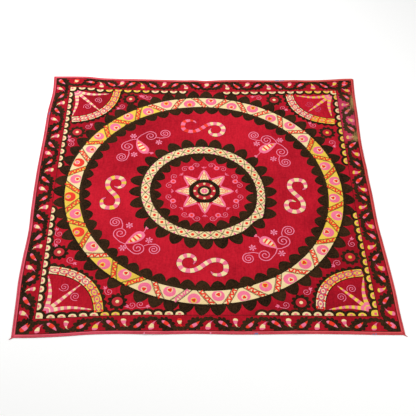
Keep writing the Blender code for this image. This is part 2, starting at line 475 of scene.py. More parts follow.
def silkThread(name):
    # spun silk couched in close rows: soft gloss, painted highlight along the rows and painted shade between
    # them, and uneven hand dyeing
    look = dict(zip(threadColumns, threads[name]))
    worn = name == "black"  # worn black silk is duller, and shows the brown in it
    material, tree, shader = newMaterial("couched silk " + name, 0.75 if worn else 0.62,
                                         0.04 if worn else 0.25)
    grain = addNode(tree, "UVMap", uv_map="grain")
    spot = (addNode(tree, "TexCoord"), "Object")
    dye = addNode(tree, "Attribute", attribute_name="dye")
    rows = addNode(tree, "TexWave", {"Vector": grain, "Scale": waveScale(look["row"]),
                   "Distortion": 2.0, "Detail": 1.0, "Detail Scale": 2.0}, bands_direction="Y")
    mottle = addNode(tree, "TexNoise", {"Vector": spot, "Scale": 130.0 if worn else 70.0,
                     "Detail": 3.0, "Roughness": 0.65})
    patch = addNode(tree, "TexNoise", {"Vector": spot, "Scale": 9.0, "Detail": 2.0})
    start, flecks = (-1.50, 2.6) if worn else (-0.60, 1.2)
    # the rows paint shade between them and highlight along them; the mottle, the patch and the dye are the
    # uneven dyeing
    shade = addUp(tree, start, [(rows, 0.45), (mottle, flecks), (patch, 0.7), (dye, 0.35)], True)
    mixed = addNode(tree, "Mix", {0: shade, 6: hexColour(look["deepDyeAndShade"]), 7: hexColour(look["colour"])},
                    data_type="RGBA")
    finishCloth(tree, shader, aged(tree, spot, (mixed, 2), look["faded"]), (rows, "Fac"), 0.6, 0.0005)
    return material


silks = {name: silkThread(name) for name in threads}

cottonLook = {
    "light": "#C8182C", "deep": "#A00A1E", "darkest": "#700812", "faded": "#BC3C60",
    "weave": 2.4,  # drawn about three times as coarse as the real weave, which is too fine to show
    "slub": 14, "tapeLight": "#E85A6E", "tapeWarm": "#DC544C", "tapeDeep": "#A21824", "tapeRib": 1.8,
}


def cottonGround():
    # hand woven cotton, dyed crimson: matte, fine slubs both ways, uneven depth of dye
    look = cottonLook
    material, tree, shader = newMaterial("hand woven crimson cotton", 0.9, 0.1)
    spot = (addNode(tree, "TexCoord"), "Object")
    tone = addNode(tree, "Attribute", attribute_name="tone")
    warp, weft = [addNode(tree, "TexWave", {"Vector": spot, "Scale": waveScale(look["weave"]),
                          "Distortion": 1.5, "Detail": 2.0}, bands_direction=way) for way in "XY"]
    weave = addNode(tree, "Math", {0: (warp, "Fac"), 1: (weft, "Fac")}, operation="MULTIPLY")
    slub = addNode(tree, "TexNoise", {"Vector": spot, "Scale": 1000 / look["slub"],
                   "Detail": 4.0, "Roughness": 0.65})
    cloudy = addNode(tree, "TexNoise", {"Vector": spot, "Scale": 5.0, "Detail": 3.0})
    lengthways = addNode(tree, "Mapping", {"Vector": spot, "Scale": (120.0, 14.0, 30.0)})
    pulled = addNode(tree, "TexNoise", {"Vector": lengthways, "Scale": 1.0, "Detail": 3.0})
    shade = addUp(tree, -1.02, [(weave, 0.16), (slub, 0.85), (cloudy, 0.75), (pulled, 0.55), (tone, 1.0)])
    dyed = addNode(tree, "ValToRGB", {"Fac": shade})
    ramp = dyed.color_ramp.elements
    ramp[0].color, ramp[1].color = hexColour(look["darkest"]), hexColour(look["light"])
    ramp.new(0.5).color = hexColour(look["deep"])
    finishCloth(tree, shader, aged(tree, spot, (dyed, 0), look["faded"]), weave, 0.35, 0.0004)
    return material


def cottonTape():
    # folded rose cotton tape with fine ribs along it; it is lighter on its raised halves as painted
    # highlight, and darker in its crease, along its edges and underneath as painted shade
    look = cottonLook
    material, tree, shader = newMaterial("folded rose cotton tape", 0.8, 0.2)
    grain = addNode(tree, "UVMap", uv_map="grain")
    spot = (addNode(tree, "TexCoord"), "Object")
    bleach, warm = [addNode(tree, "Attribute", attribute_name=layer) for layer in ("bleach", "warm")]
    ribs = addNode(tree, "TexWave", {"Vector": grain, "Scale": waveScale(look["tapeRib"]),
                   "Distortion": 1.0, "Detail": 2.0}, bands_direction="Y")
    cloudy = addNode(tree, "TexNoise", {"Vector": spot, "Scale": 38.0, "Detail": 4.0})
    # painted highlight and shade across the tape, with its tone, mix the deep colour towards the light one
    shade = addUp(tree, -0.30, [(ribs, 0.12), (cloudy, 0.6), (bleach, 1.0)], True)
    light = addNode(tree, "Mix", {0: (warm, "Fac"), 6: hexColour(look["tapeLight"]),
                    7: hexColour(look["tapeWarm"])}, data_type="RGBA")
    mixed = addNode(tree, "Mix", {0: shade, 6: hexColour(look["tapeDeep"]), 7: (light, 2)},
                    data_type="RGBA")
    finishCloth(tree, shader, mixed, (ribs, "Fac"), 0.4, 0.0004)
    return material


groundCotton, roseTape = cottonGround(), cottonTape()
print("suzani: materials ready")


def repeatTree(name, mode):
    # one shape set down at even steps along curves, turned with them, each a little different
    tree = bpy.data.node_groups.new(name, "GeometryNodeTree")
    for label, kind in (("Lines", "Geometry"), ("Shape", "Object"), ("Spacing", "Float"), ("Count", "Int"),
                        ("Turn Wander", "Float"), ("Size Wander", "Float"), ("Seed", "Int"),
                        ("Thread", "Material")):
        tree.interface.new_socket(label, in_out="INPUT", socket_type="NodeSocket" + kind)
    tree.interface.new_socket("Geometry", in_out="OUTPUT", socket_type="NodeSocketGeometry")
    given = addNode(tree, "NodeGroupInput")
    curve = addNode(tree, "GeometryNodeMeshToCurve", {"Mesh": (given, "Lines")})
    step = {"Length": (given, "Spacing")} if mode == "LENGTH" else {"Count": (given, "Count")}
    spots = addNode(tree, "GeometryNodeCurveToPoints", {"Curve": curve, **step}, mode=mode)
    facing = addNode(tree, "FunctionNodeAlignRotationToVector", {"Vector": (spots, "Tangent")}, axis="X",
                     pivot_axis="Z")
    low = addNode(tree, "Math", {0: (given, "Turn Wander"), 1: -1.0}, operation="MULTIPLY")
    swing = addNode(tree, "FunctionNodeRandomValue", {"Min": low, "Max": (given, "Turn Wander"),
                    "Seed": (given, "Seed")}, data_type="FLOAT")
    euler = addNode(tree, "CombineXYZ", {"Z": (swing, "Value")})
    turned = addNode(tree, "FunctionNodeRotateRotation", {"Rotation": facing,
                     "Rotate By": addNode(tree, "FunctionNodeEulerToRotation", {"Euler": euler})},
                     rotation_space="LOCAL")
    smallest, largest = [addNode(tree, "Math", {0: 1.0, 1: (given, "Size Wander")}, operation=way)
                         for way in ("SUBTRACT", "ADD")]
    otherSeed = addNode(tree, "Math", {0: (given, "Seed"), 1: 17.0}, operation="ADD")
    size = addNode(tree, "FunctionNodeRandomValue", {"Min": smallest, "Max": largest, "Seed": otherSeed},
                   data_type="FLOAT")
    shape = addNode(tree, "GeometryNodeObjectInfo", {"Object": (given, "Shape")})
    stamped = addNode(tree, "GeometryNodeInstanceOnPoints", {"Points": (spots, "Points"),
                      "Instance": (shape, "Geometry"), "Rotation": turned, "Scale": (size, "Value")})
    # every copy gets its own depth of dye, then all become plain mesh with the thread's material
    dye = addNode(tree, "FunctionNodeRandomValue", {"Seed": (given, "Seed")}, data_type="FLOAT")
    marked = addNode(tree, "GeometryNodeStoreNamedAttribute", {"Geometry": stamped, "Name": "dye",
                     "Value": (dye, "Value")}, data_type="FLOAT", domain="INSTANCE")
    real = addNode(tree, "GeometryNodeRealizeInstances", {"Geometry": marked})
    done = addNode(tree, "GeometryNodeSetMaterial", {"Geometry": real, "Material": (given, "Thread")})
    addNode(tree, "NodeGroupOutput", {"Geometry": done})
    return tree


stitchTree = repeatTree("stitches along lines", "LENGTH")
petalTree = repeatTree("petals round a ring", "COUNT")


def runTree(name, tree, lines, closed, settings, base=faceHeight):
    # runs the tree on poly-lines in the plan, then lays the result on the cloth as a plain mesh
    points = np.concatenate(lines)
    edges, start = [], 0
    for line in lines:
        n = len(line)
        edges += [(start + i, start + (i + 1) % n) for i in range(n if closed else n - 1)]
        start += n
    guide = newMesh(name + " lines", np.c_[points, np.zeros(len(points))], [], edges)
    carrier = newObject(name, guide)
    modifier = carrier.modifiers.new("thread", "NODES")
    modifier.node_group = tree
    sockets = {item.name: item.identifier for item in tree.interface.items_tree if item.in_out == "INPUT"}
    for key, value in settings.items():
        modifier[sockets[key]] = value
    mesh = bpy.data.meshes.new_from_object(carrier.evaluated_get(bpy.context.evaluated_depsgraph_get()))
    bpy.data.objects.remove(carrier)
    bpy.data.meshes.remove(guide)
    mesh.name = name
    x, y, z = coordinates(mesh).T
    mesh.vertices.foreach_set("co", centred(x, y, z + base(x, y)).ravel())
    setLayers(mesh)
    addPiece(name, mesh)


def template(name, points, faces, grain):
    # a shape for the trees, flat at the origin and out of every picture
    mesh = newMesh(name, points, faces)
    setGrain(mesh, grain)
    mesh.shade_smooth()
    return bpy.data.objects.new(name, mesh)


stitchSizes = {
    "length": 0.0092, "width": 0.0052, "height": 0.0011, "spacing": 0.0062,
    # along, and shares of the width and height there
    "rows": [(-0.5, 0.0, 0.0), (-0.28, 0.8, 0.7), (0.05, 1.0, 1.0), (0.33, 0.72, 0.65), (0.5, 0.0, 0.0)],
}


def stitchTemplate(length, width, height, lift):
    # a plump lens of thread, 16 faces
    rows = stitchSizes["rows"]
    points = [(rows[0][0] * length, 0, lift)]
    for along, wide, tall in rows[1:-1]:
        for y, z in ((-0.5, 0.0), (-0.22, 0.9), (0.22, 0.9), (0.5, 0.0)):
            points.append((along * length, y * wide * width, lift + z * tall * height))
    points.append((rows[-1][0] * length, 0, lift))
    faces, last = [], len(points) - 1
    for j in range(4):
        k = (j + 1) % 4
        faces.append((0, 1 + j, 1 + k))
        faces += [(a + j, a + 4 + j, a + 4 + k, a + k) for a in (1, 5)]
        faces.append((9 + k, 9 + j, last))
    return template("stitch", points, faces, np.array(points)[:, :2])


lineWork = {}
# over bands of silk, or over the tape; else on the cloth
lineLift = {"bigRing": 0.0007, "smallRing": 0.0007, "fanBands": 0.0011, "tapeSeam": 0.0032,
            "tapeBits": 0.0034}


def drawLine(area, thread, points, width=1.0):
    # lines are gathered by area, thread and width, and stitched all together at the end
    lineWork.setdefault((area, thread, width), []).append(np.asarray(points, float))


print("suzani: trees ready")


# The ground: one closed sheet, its colour set by where the dye took and where the sun reached
groundTones = {"field": 0.86, "border": 0.45, "nearSide": -0.14, "rightSide": -0.26, "leftSide": -0.08,
               "farLeft": -0.40, "middle": -0.10, "middleReach": 0.36, "darkCorners": 0.31,
               "lightCorners": 0.62, "cornersFrom": 0.88, "borderTo": 0.118}


def groundTone(x, y):
    look = groundTones
    tone = look["field"] + look["rightSide"] * np.clip(x / 0.5, 0, 1)
    tone += look["leftSide"] * np.clip(-x / 0.5, 0, 1)
    tone = tone + look["nearSide"] * np.clip(-y / 0.6, 0, 1)
    tone = tone + look["farLeft"] * np.clip((0.1 - x) / 0.4, 0, 1) * np.clip((y + 0.05) / 0.4, 0, 1)
    tone = tone + look["middle"] * np.clip((look["middleReach"] - np.hypot(x, y)) / 0.1, 0, 1)
    outside = np.clip((np.hypot(x + 0.018, y + 0.0126) - look["cornersFrom"]) / 0.06, 0, 1)
    corner = np.where(x * y > 0, look["lightCorners"], look["darkCorners"])
    tone = tone + (corner - tone) * outside
    inBorder = np.clip((look["borderTo"] - edgeDistance(x, y)) / 0.008, 0, 1)
    return tone + (look["border"] - tone) * inBorder


def makeCloth():
    n, inset = cloth["gridCells"], cloth["edgeInset"] / cloth["side"]
    spots = np.linspace(inset, 1 - inset, n + 1)
    x, y = [values.ravel() for values in place(*np.meshgrid(spots, spots, indexing="ij"))]
    i, j = [grid.ravel() for grid in np.meshgrid(np.arange(n), np.arange(n), indexing="ij")]
    row = n + 1
    a, b, c, d = i * row + j, (i + 1) * row + j, (i + 1) * row + j + 1, i * row + j + 1
    total = row * row
    rim = [k * row for k in range(row)] + [n * row + k for k in range(1, row)]
    rim += [k * row + n for k in range(n - 1, -1, -1)] + list(range(n - 1, 0, -1))
    quads = np.concatenate([np.c_[a, b, c, d], np.c_[d, c, b, a] + total]).tolist()
    quads += [(p + total, q + total, q, p) for p, q in zip(rim, rim[1:] + rim[:1])]
    points = np.concatenate([centred(x, y, height(x, y)) for height in (faceHeight, undersideHeight)])
    mesh = newMesh("ground_cloth", points, quads)
    setLayers(mesh, tone=np.tile(groundTone(x, y), 2))
    addPiece("ground_cloth", mesh, groundCotton)


makeCloth()
print("suzani: ground cloth laid")


# The tape: folded over the edge, with a soft crease along its middle and a little pucker
tape = {
    "over": [(19.0, 3.15), (18.7, 3.60), (17.0, 3.95), (14.2, 4.15), (11.6, 3.95), (10.2, 3.60), (9.5, 3.42),
             (8.8, 3.60), (7.2, 4.00), (4.6, 4.10), (2.4, 3.65), (0.9, 2.85), (0.0, 1.80), (0.7, 0.70),
             (2.4, 0.0), (9.5, 0.0), (19.0, 0.0)],
    "under": [(19.0, 0.7), (9.5, 0.7), (2.8, 0.7), (1.5, 1.25), (1.1, 1.80), (1.5, 2.45), (2.8, 2.90),
              (9.5, 2.90), (19.0, 2.90)],
    "cornerLean": 0.024, "tailFoot": 0.011, "mitreEase": 0.0010, "step": 0.008,
    # the tape's own tone on each edge, under the painted highlight and shade across it
    "bleach": {"far": 0.82, "near": 0.56, "left": 0.46, "right": 0.42},
    "seam": 0.0095, "besideTape": 0.0215,
    # turned-out bits of thread: edge, along, length and depth in mm, rows
    "blue": [("left", 0.821, 17, 11.5, 2), ("left", 0.795, 9, 3, 1), ("near", 0.617, 17, 3, 2),
             ("near", 0.921, 14, 3, 2), ("far", 0.741, 20, 3, 3), ("far", 0.7595, 20, 3, 3)],
    "tufts": [("near", 0.335, 5, 3, 2), ("near", 0.503, 5, 3, 2)],
}
# Laps where one length of tape ends on the next: edge, along, half width, extra height in mm
tapeJoins = [("far", 0.107, 0.004, 0.7), ("far", 0.465, 0.003, 0.8), ("far", 0.517, 0.003, 0.6),
             ("right", 0.36, 0.003, 0.6), ("near", 0.56, 0.003, 0.5)]


def tapeSpot(edge, along, depth):
    # plan position on a tape; depth in metres in from the fold
    across = depth / cloth["side"]
    return place(*{"near": (along, across), "far": (along, 1 - across), "left": (across, along),
                   "right": (1 - across, along)}[edge])


def makeTape(edge):
    side = cloth["side"]
    section = np.array(tape["over"] + tape["under"]) / 1000
    m, top = len(section), len(tape["over"])
    spots = np.concatenate([np.linspace(0, tape["cornerLean"], 7)[:-1],
                            np.linspace(tape["cornerLean"], side / 2, int(side / 2 / tape["step"]))])
    spots = np.concatenate([spots, side - spots[-2::-1]]) / side
    n = len(spots)
    along, depth = np.meshgrid(spots, section[:, 0], indexing="ij")
    height = np.tile(section[:, 1], (n, 1))
    fromEnd = np.minimum(along, 1 - along) * side
    free = np.clip((fromEnd - 0.03) / 0.03, 0, 1)
    wander = np.sin(along * 97 + 2 * np.sin(along * 31)) * 0.5 + np.sin(along * 223) * 0.3
    depth = depth + free * (depth > 0.015) * wander * 0.0006
    raised = (height > 0.0030) & (np.arange(m) < top)
    height = height + free * raised * 0.00025 * np.sin(along * 340 + depth * 300 + 2 * np.sin(along * 57))
    for where, spot, half, extra in tapeJoins:
        if where == edge:
            height = height + raised * np.clip(1.6 - np.abs(along - spot) / half, 0, 1) * extra / 1000
    lean = np.clip(1 - fromEnd / tape["cornerLean"], 0, 1) * (depth + tape["mitreEase"]) / side
    x, y = tapeSpot(edge, along + np.where(along < 0.5, lean, -lean), depth)
    if edge == "near":
        foot = np.clip(1 - fromEnd / tape["tailFoot"], 0, 1)
        pull = foot * cloth["tail"] * np.clip(1 - depth / cloth["tailRoot"], 0, 1) / math.sqrt(2)
        x, y = x + np.where(along < 0.5, -pull, pull), y - pull
    faces = tubeQuads(n, m)[:, [0, 3, 2, 1]].tolist()
    faces += [list(range(m - 1, -1, -1)), list(range((n - 1) * m, n * m))]
    if edge in ("far", "left"):
        faces = [face[::-1] for face in faces]
    mesh = newMesh("tape_" + edge, centred(x, y, height + foldRise(x, y)).reshape(-1, 3), faces)
    setGrain(mesh, np.c_[(along * side).ravel(), np.tile(runLength(section), n)])
    # painted highlight on the raised halves, most of all on the inner one, and painted shade in the crease,
    # at both edges and underneath; the level for each edge and the waver along it are the tape's own tone
    middle, half = tape["seam"], tape["seam"] / 2 - 0.00005
    crease = np.abs(np.abs(section[:, 0] - middle) - half) / half
    bleach = np.where(np.arange(m) < 13, 0.26 - 0.75 * crease + 0.22 * (section[:, 0] > middle), -0.4)
    bleach = bleach[None] + tape["bleach"][edge] + 0.10 * np.sin(along * 41 + 3 * np.sin(along * 17))
    # the dye has turned from pink to coral towards the right and far sides
    warm = np.clip(0.5 + (x + y / 2) / side, 0, 1)
    setLayers(mesh, bleach=bleach.ravel(), warm=warm.ravel())
    addPiece("tape_" + edge, mesh, roseTape, sharp=60)


for edge in ("near", "far", "left", "right"):
    makeTape(edge)
    inside = np.linspace(0.013, 0.987, 130)
    drawLine("border", "black", np.c_[tapeSpot(edge, inside, tape["besideTape"])], 0.95)
    drawLine("tapeSeam", "tapeThread", np.c_[tapeSpot(edge, inside, tape["seam"])], 0.65)
for thread, rows in (("blue", tape["blue"]), ("rose", tape["tufts"])):
    for edge, along, length, depth, count in rows:
        t = np.linspace(-0.5, 0.5, 4) * length / 1000 / cloth["side"]
        for k in range(count):
            drawLine("tapeBits", thread, np.c_[tapeSpot(edge, along + t, (depth + 4.5 * k) / 1000)], 1.2)
print("suzani: tape folded over the edges")


# The rings. Angles run clockwise from the far side, in degrees; radii in metres.
bigRing = {
    "centre": (-0.018, -0.0126),
    "outer": [(0, 0.848), (75, 0.861), (135, 0.857), (180, 0.835), (190, 0.832), (227, 0.838), (270, 0.855),
              (315, 0.859)],
    # the patches drift round the ring by a few degrees, as the needleworker fitted them in
    "drift": [(0, 0.6), (18, 1.0), (36, 1.5), (54, 1.5), (72, 1.2), (90, 0.6), (108, 0.4), (126, 0.3),
              (144, 0.7), (162, 1.3), (180, 1.1), (198, 1.4), (216, 2.1), (234, 2.7), (252, 2.6),
              (270, 2.9), (288, 2.8), (306, 1.0), (324, -0.5), (342, -0.9)],
    # each 20 degrees hold two cells, given by their middle and their sides on the band's inner and outer
    # edge, and two strips between them, given by where they cross the two edges
    "cells": ((3.5, (2.45, 4.55), (-2.75, 9.75)), (13.7, (7.45, 19.95), (12.65, 14.75))),
    "strips": ((6.0, 11.2), (21.2, 16.0)), "stripHalf": 1.5, "stripLines": (-1.5, -1.12, 1.12, 1.5),
    "hook": [(-0.017, 0.015), (-0.012, -0.004), (-0.001, -0.008), (0.006, 0.004), (0.016, 0.012),
             (0.019, 0.003)],
    "hookDots": ((0.011, -0.010), (-0.003, 0.013), (-0.016, -0.009)), "hookWidth": 0.0115, "dotReach": 0.0038,
    "band": 0.0915, "edge": 0.0035, "circle": 0.0390, "eye": 0.0200, "heart": 0.0136, "roots": (0.013, 0.020),
    # circle and eye lie this share of the band's width off its middle
    "circleShift": 0.13, "eyeShift": 0.22,
    "yellow": [(55, 121), (206, 226), (236, 271), (276, 280), (297, 336)],
    "orangeCircles": (243.5, 263.5, 283.5),
    "outerPetals": 62, "innerPetals": 55, "petal": (0.088, 0.072, 0.004, 0.80),
    "innerPetal": (0.092, 0.069, -0.003, 0.66),
}
smallRing = {
    "centre": (-0.018, -0.0126),
    "outer": [(0, 0.378), (48, 0.374), (95, 0.380), (108, 0.390), (118, 0.407), (121.5, 0.413),
              (124.5, 0.400), (145, 0.395), (181, 0.380), (226, 0.3865), (275, 0.3885), (323, 0.3885)],
    "inner": [(0, 0.319), (48, 0.317), (90, 0.3270), (103, 0.333), (112, 0.3405), (121, 0.345), (127, 0.344),
              (139, 0.333), (181, 0.3235), (226, 0.3275), (275, 0.332), (323, 0.3275)],
    "drift": [(0, 1.6), (24, 3.0), (48, 4.3), (72, 5.0), (96, 4.8), (120, 3.7), (144, 2.7), (168, 1.0),
              (192, 0.9), (216, 0.1), (240, -0.3), (264, 1.3), (288, 2.5), (312, 3.4), (336, 3.2)],
    "edge": 0.0035, "roots": (0.012, 0.026), "diamonds": 31, "first": 4.8, "dot": 0.0108,
    "outerPetals": 28, "innerPetals": 24, "petal": (0.086, 0.076, -0.004, 0.66),
    "innerPetal": (0.086, 0.071, 0.003, 0.70),
}


def roundTable(rows, angle):
    wrapped = [(a - 360, r) for a, r in rows] + list(rows) + [(a + 360, r) for a, r in rows]
    return smoothTable(wrapped, np.mod(angle, 360))


def ringSpot(ring, angle, share):
    # share: 0 on the band's inner edge, 1 on its outer edge
    angle = np.asarray(angle, float)
    if "drift" in ring:
        angle = angle + roundTable(ring["drift"], angle)
    outer = roundTable(ring["outer"], angle)
    inner = roundTable(ring["inner"], angle) if "inner" in ring else outer - ring["band"]
    r = inner + (outer - inner) * share
    turn = np.radians(angle)
    return np.stack([ring["centre"][0] + r * np.sin(turn), ring["centre"][1] + r * np.cos(turn)], -1)


def within(angle, spans):
    return any(low <= angle % 360 <= high for low, high in spans)


def ringCell(area, ring, thread, inner, outer, rows=7):
    # a patch of the band between two slanting sides, given as angles on its inner and outer edge
    share = np.linspace(0, 1, rows)
    sides = [np.c_[inner[k] + (outer[k] - inner[k]) * share, share] for k in (0, 1)]
    addRibbon(area, thread, *sides, 0, crown=0.0004, grainTurn=0,
              bend=lambda p: ringSpot(ring, p[:, 0], p[:, 1]))


def ringEdges(area, ring):
    # the solid black run along both edges of a band, which the petals grow from
    angle = np.linspace(0, 360, 241)
    band = np.hypot(*(ringSpot(ring, 0, 1) - ringSpot(ring, 0, 0)))
    for share, out, reach in ((1, 1, ring["roots"][0]), (0, -1, ring["roots"][1])):
        near, away = share + out * -ring["edge"] / band, share + out * reach / band
        for part in range(4):
            a = angle[part * 60:part * 60 + 61]
            addRibbon(area, "black", ringSpot(ring, a, near), ringSpot(ring, a, away), 1, 0.0003)


def petalOutline(width, height, lean, full):
    # wide where it grows from the band, narrowing to a blunt point that leans a little
    share = np.linspace(0, 1, 9) ** 0.8
    half = width / 2 * (1 - share ** 2.3) ** full
    tip = lean * share ** 1.5
    right, left = np.c_[half + tip, share * height], np.c_[-half + tip, share * height]
    return np.r_[right, left[-2::-1], [(-width * 0.42, -0.007), (0, -0.009), (width * 0.42, -0.007)]]


def ringPetals(name, ring, outside, start, seed):
    width, height, lean, full = ring["petal"] if outside else ring["innerPetal"]
    addPad("petal", "black", petalOutline(width, height, lean, full), 0, crown=0.0007,
           centre=(0, height * 0.4), grainTurn=68)
    spool = spools.pop(("petal", "black"))
    points, heights, grain, _, quads = [np.concatenate(spool[part]) for part in spoolParts]
    shape = template("petal", np.c_[points, heights], quads.tolist() + spool["caps"], grain)
    angle = start + np.linspace(0, 360, 181)[:-1]
    path = ringSpot(ring, angle, 1) if outside else ringSpot(ring, angle, 0)[::-1]
    runTree(name, petalTree, [path], True, {
        "Shape": shape, "Count": ring["outerPetals" if outside else "innerPetals"], "Turn Wander": 0.10,
        "Size Wander": 0.045, "Seed": seed, "Thread": silks["black"]})


def makeBigRing():
    ring, area = bigRing, "bigRing"
    hook = smoothCurve(ring["hook"], 4)
    for start in range(0, 360, 20):
        for middle, inner, outer in ring["cells"]:
            a = start + middle
            base, other = ("yellow", "cream") if within(a, ring["yellow"]) else ("cream", "yellow")
            ringCell(area, ring, base, [start + v for v in inner], [start + v for v in outer])
            toBase = 1 if middle < 5 else -1
            outerThread, heart = ("orange", "pink") if a in ring["orangeCircles"] else ("pink", "orange")
            # the circle is cut off by the band's edge, and its eye sits nearer to that edge
            circle = rounded(ring["circle"] * dice.uniform(0.95, 1.04), 52, 26, 0.12, dice.uniform(0, 3))
            share = np.clip(0.5 + toBase * ring["circleShift"] + circle[:, 1] / ring["band"], 0.035, 0.965)
            reach = np.hypot(*(ringSpot(ring, a, 0.5) - ring["centre"]))
            angle = a + np.degrees(circle[:, 0] / reach)
            addPad(area, outerThread, ringSpot(ring, angle, share), 2, grainTurn=dice.uniform(0, 180))
            centre = ringSpot(ring, a, 0.5 + toBase * ring["eyeShift"]) + dice.uniform(-0.0015, 0.0015, 2)
            eye = other if dice.random() < 0.7 else base
            addPad(area, eye, rounded(ring["eye"], 26, 13, 0.08, 0, centre), 3, crown=0.0005)
            reach, turn = ring["heart"] * dice.uniform(0.95, 1.2), dice.uniform(0, 3)
            addPad(area, heart, rounded(reach, 18, 3, 0.35, turn, centre), 4, crown=0.0005)
        for inner, outer in ring["strips"]:
            a = start + (inner + outer) / 2
            low, high, half = start + inner, start + outer, ring["stripHalf"]
            base = "yellow" if within(a, ring["yellow"]) else "cream"
            ringCell(area, ring, base, [low - half, low + half], [high - half, high + half])
            share = np.linspace(0.02, 0.98, 12)
            for side in ring["stripLines"]:
                drawLine(area, "olive", ringSpot(ring, low + side + (high - low) * share, share), 0.62)
            heading = headingOf(ringSpot(ring, low, 0), ringSpot(ring, high, 1))
            thread = "pink" if within(a, [(183, 192)]) else "orange"
            for step in (0.2, 0.5, 0.8):
                spot = ringSpot(ring, low + (high - low) * step, step)
                flip = 1 if dice.random() < 0.8 else -1
                addLeaf(area, setDown(hook, spot, heading + dice.uniform(-12, 12), flip),
                        leafWidths(len(hook), ring["hookWidth"], 0.35, 0.35), 2, [(thread, 1)])
                for dot in setDown(ring["hookDots"], spot, heading, flip):
                    addPad(area, thread, rounded(ring["dotReach"], 8, centre=dot), 2)
    ringEdges(area, ring)
    ringPetals("petals_outer_ring_outside", ring, True, 1.2, 3)
    ringPetals("petals_outer_ring_inside", ring, False, 0.15, 4)


def makeSmallRing():
    ring, area = smallRing, "smallRing"
    pitch = 360 / ring["diamonds"]
    for k in range(ring["diamonds"]):
        a = ring["first"] + pitch * k
        sides, joint = (a - pitch / 2, a + pitch / 2), a + pitch / 2
        ringCell(area, ring, "cream", sides, sides, rows=6)
        addPad(area, "orange", rounded(ring["dot"], 16, 5, 0.12, k, ringSpot(ring, a, 0.5)), 2)
        share = np.linspace(0.03, 0.97, 9)
        for lean in (-1, 1):
            for side in (-0.45, 0.45):
                turn = joint + side + lean * (share - 0.5) * pitch
                drawLine(area, "olive", ringSpot(ring, turn, share), 0.5)
        # a small pink wedge at each edge, where two diamonds meet
        for edge, tip in ((0.05, 0.29), (0.95, 0.71)):
            corners = np.array([(-1.3, edge), (0, edge), (1.3, edge), (0.4, tip), (-0.4, tip)])
            addPad(area, "pink", ringSpot(ring, joint + corners[:, 0], corners[:, 1]), 2)
    ringEdges(area, ring)
    ringPetals("petals_inner_ring_outside", ring, True, -2.9, 5)
    ringPetals("petals_inner_ring_inside", ring, False, 9.1, 6)


star = {
    "centre": (-0.014, -0.017), "points": 8,
    "point": [(0.088, 0.0275), (0.100, 0.0270), (0.112, 0.0235), (0.126, 0.0175), (0.142, 0.0110),
              (0.156, 0.005), (0.169, 0.0008)],
    # orange dashes in rows of two and three: distance out and the point's half width there
    "dashes": [(0.101, 0.022), (0.111, 0.019), (0.121, 0.016), (0.131, 0.013), (0.141, 0.009)],
    "hook": [(0.116, 0.031), (0.107, 0.037), (0.099, 0.036)],
    "tip": [(0.190, 0), (0.198, 0.002), (0.208, 0)], "tick": [(0.192, 0.004), (0.200, 0.009), (0.204, 0.017)],
    # between two points: distance out and reaches of a flower; distance, degrees aside and reach of a spiral
    "flower": (0.209, 0.0185, 0.0110), "spiral": (0.2225, 10.5, 0.0210),
    "outline": 0.0115, "blackRing": (0.0735, 0.099), "dots": (8, 0.0595, 0.0088),
    "innerRing": (0.0295, 0.0465),
}


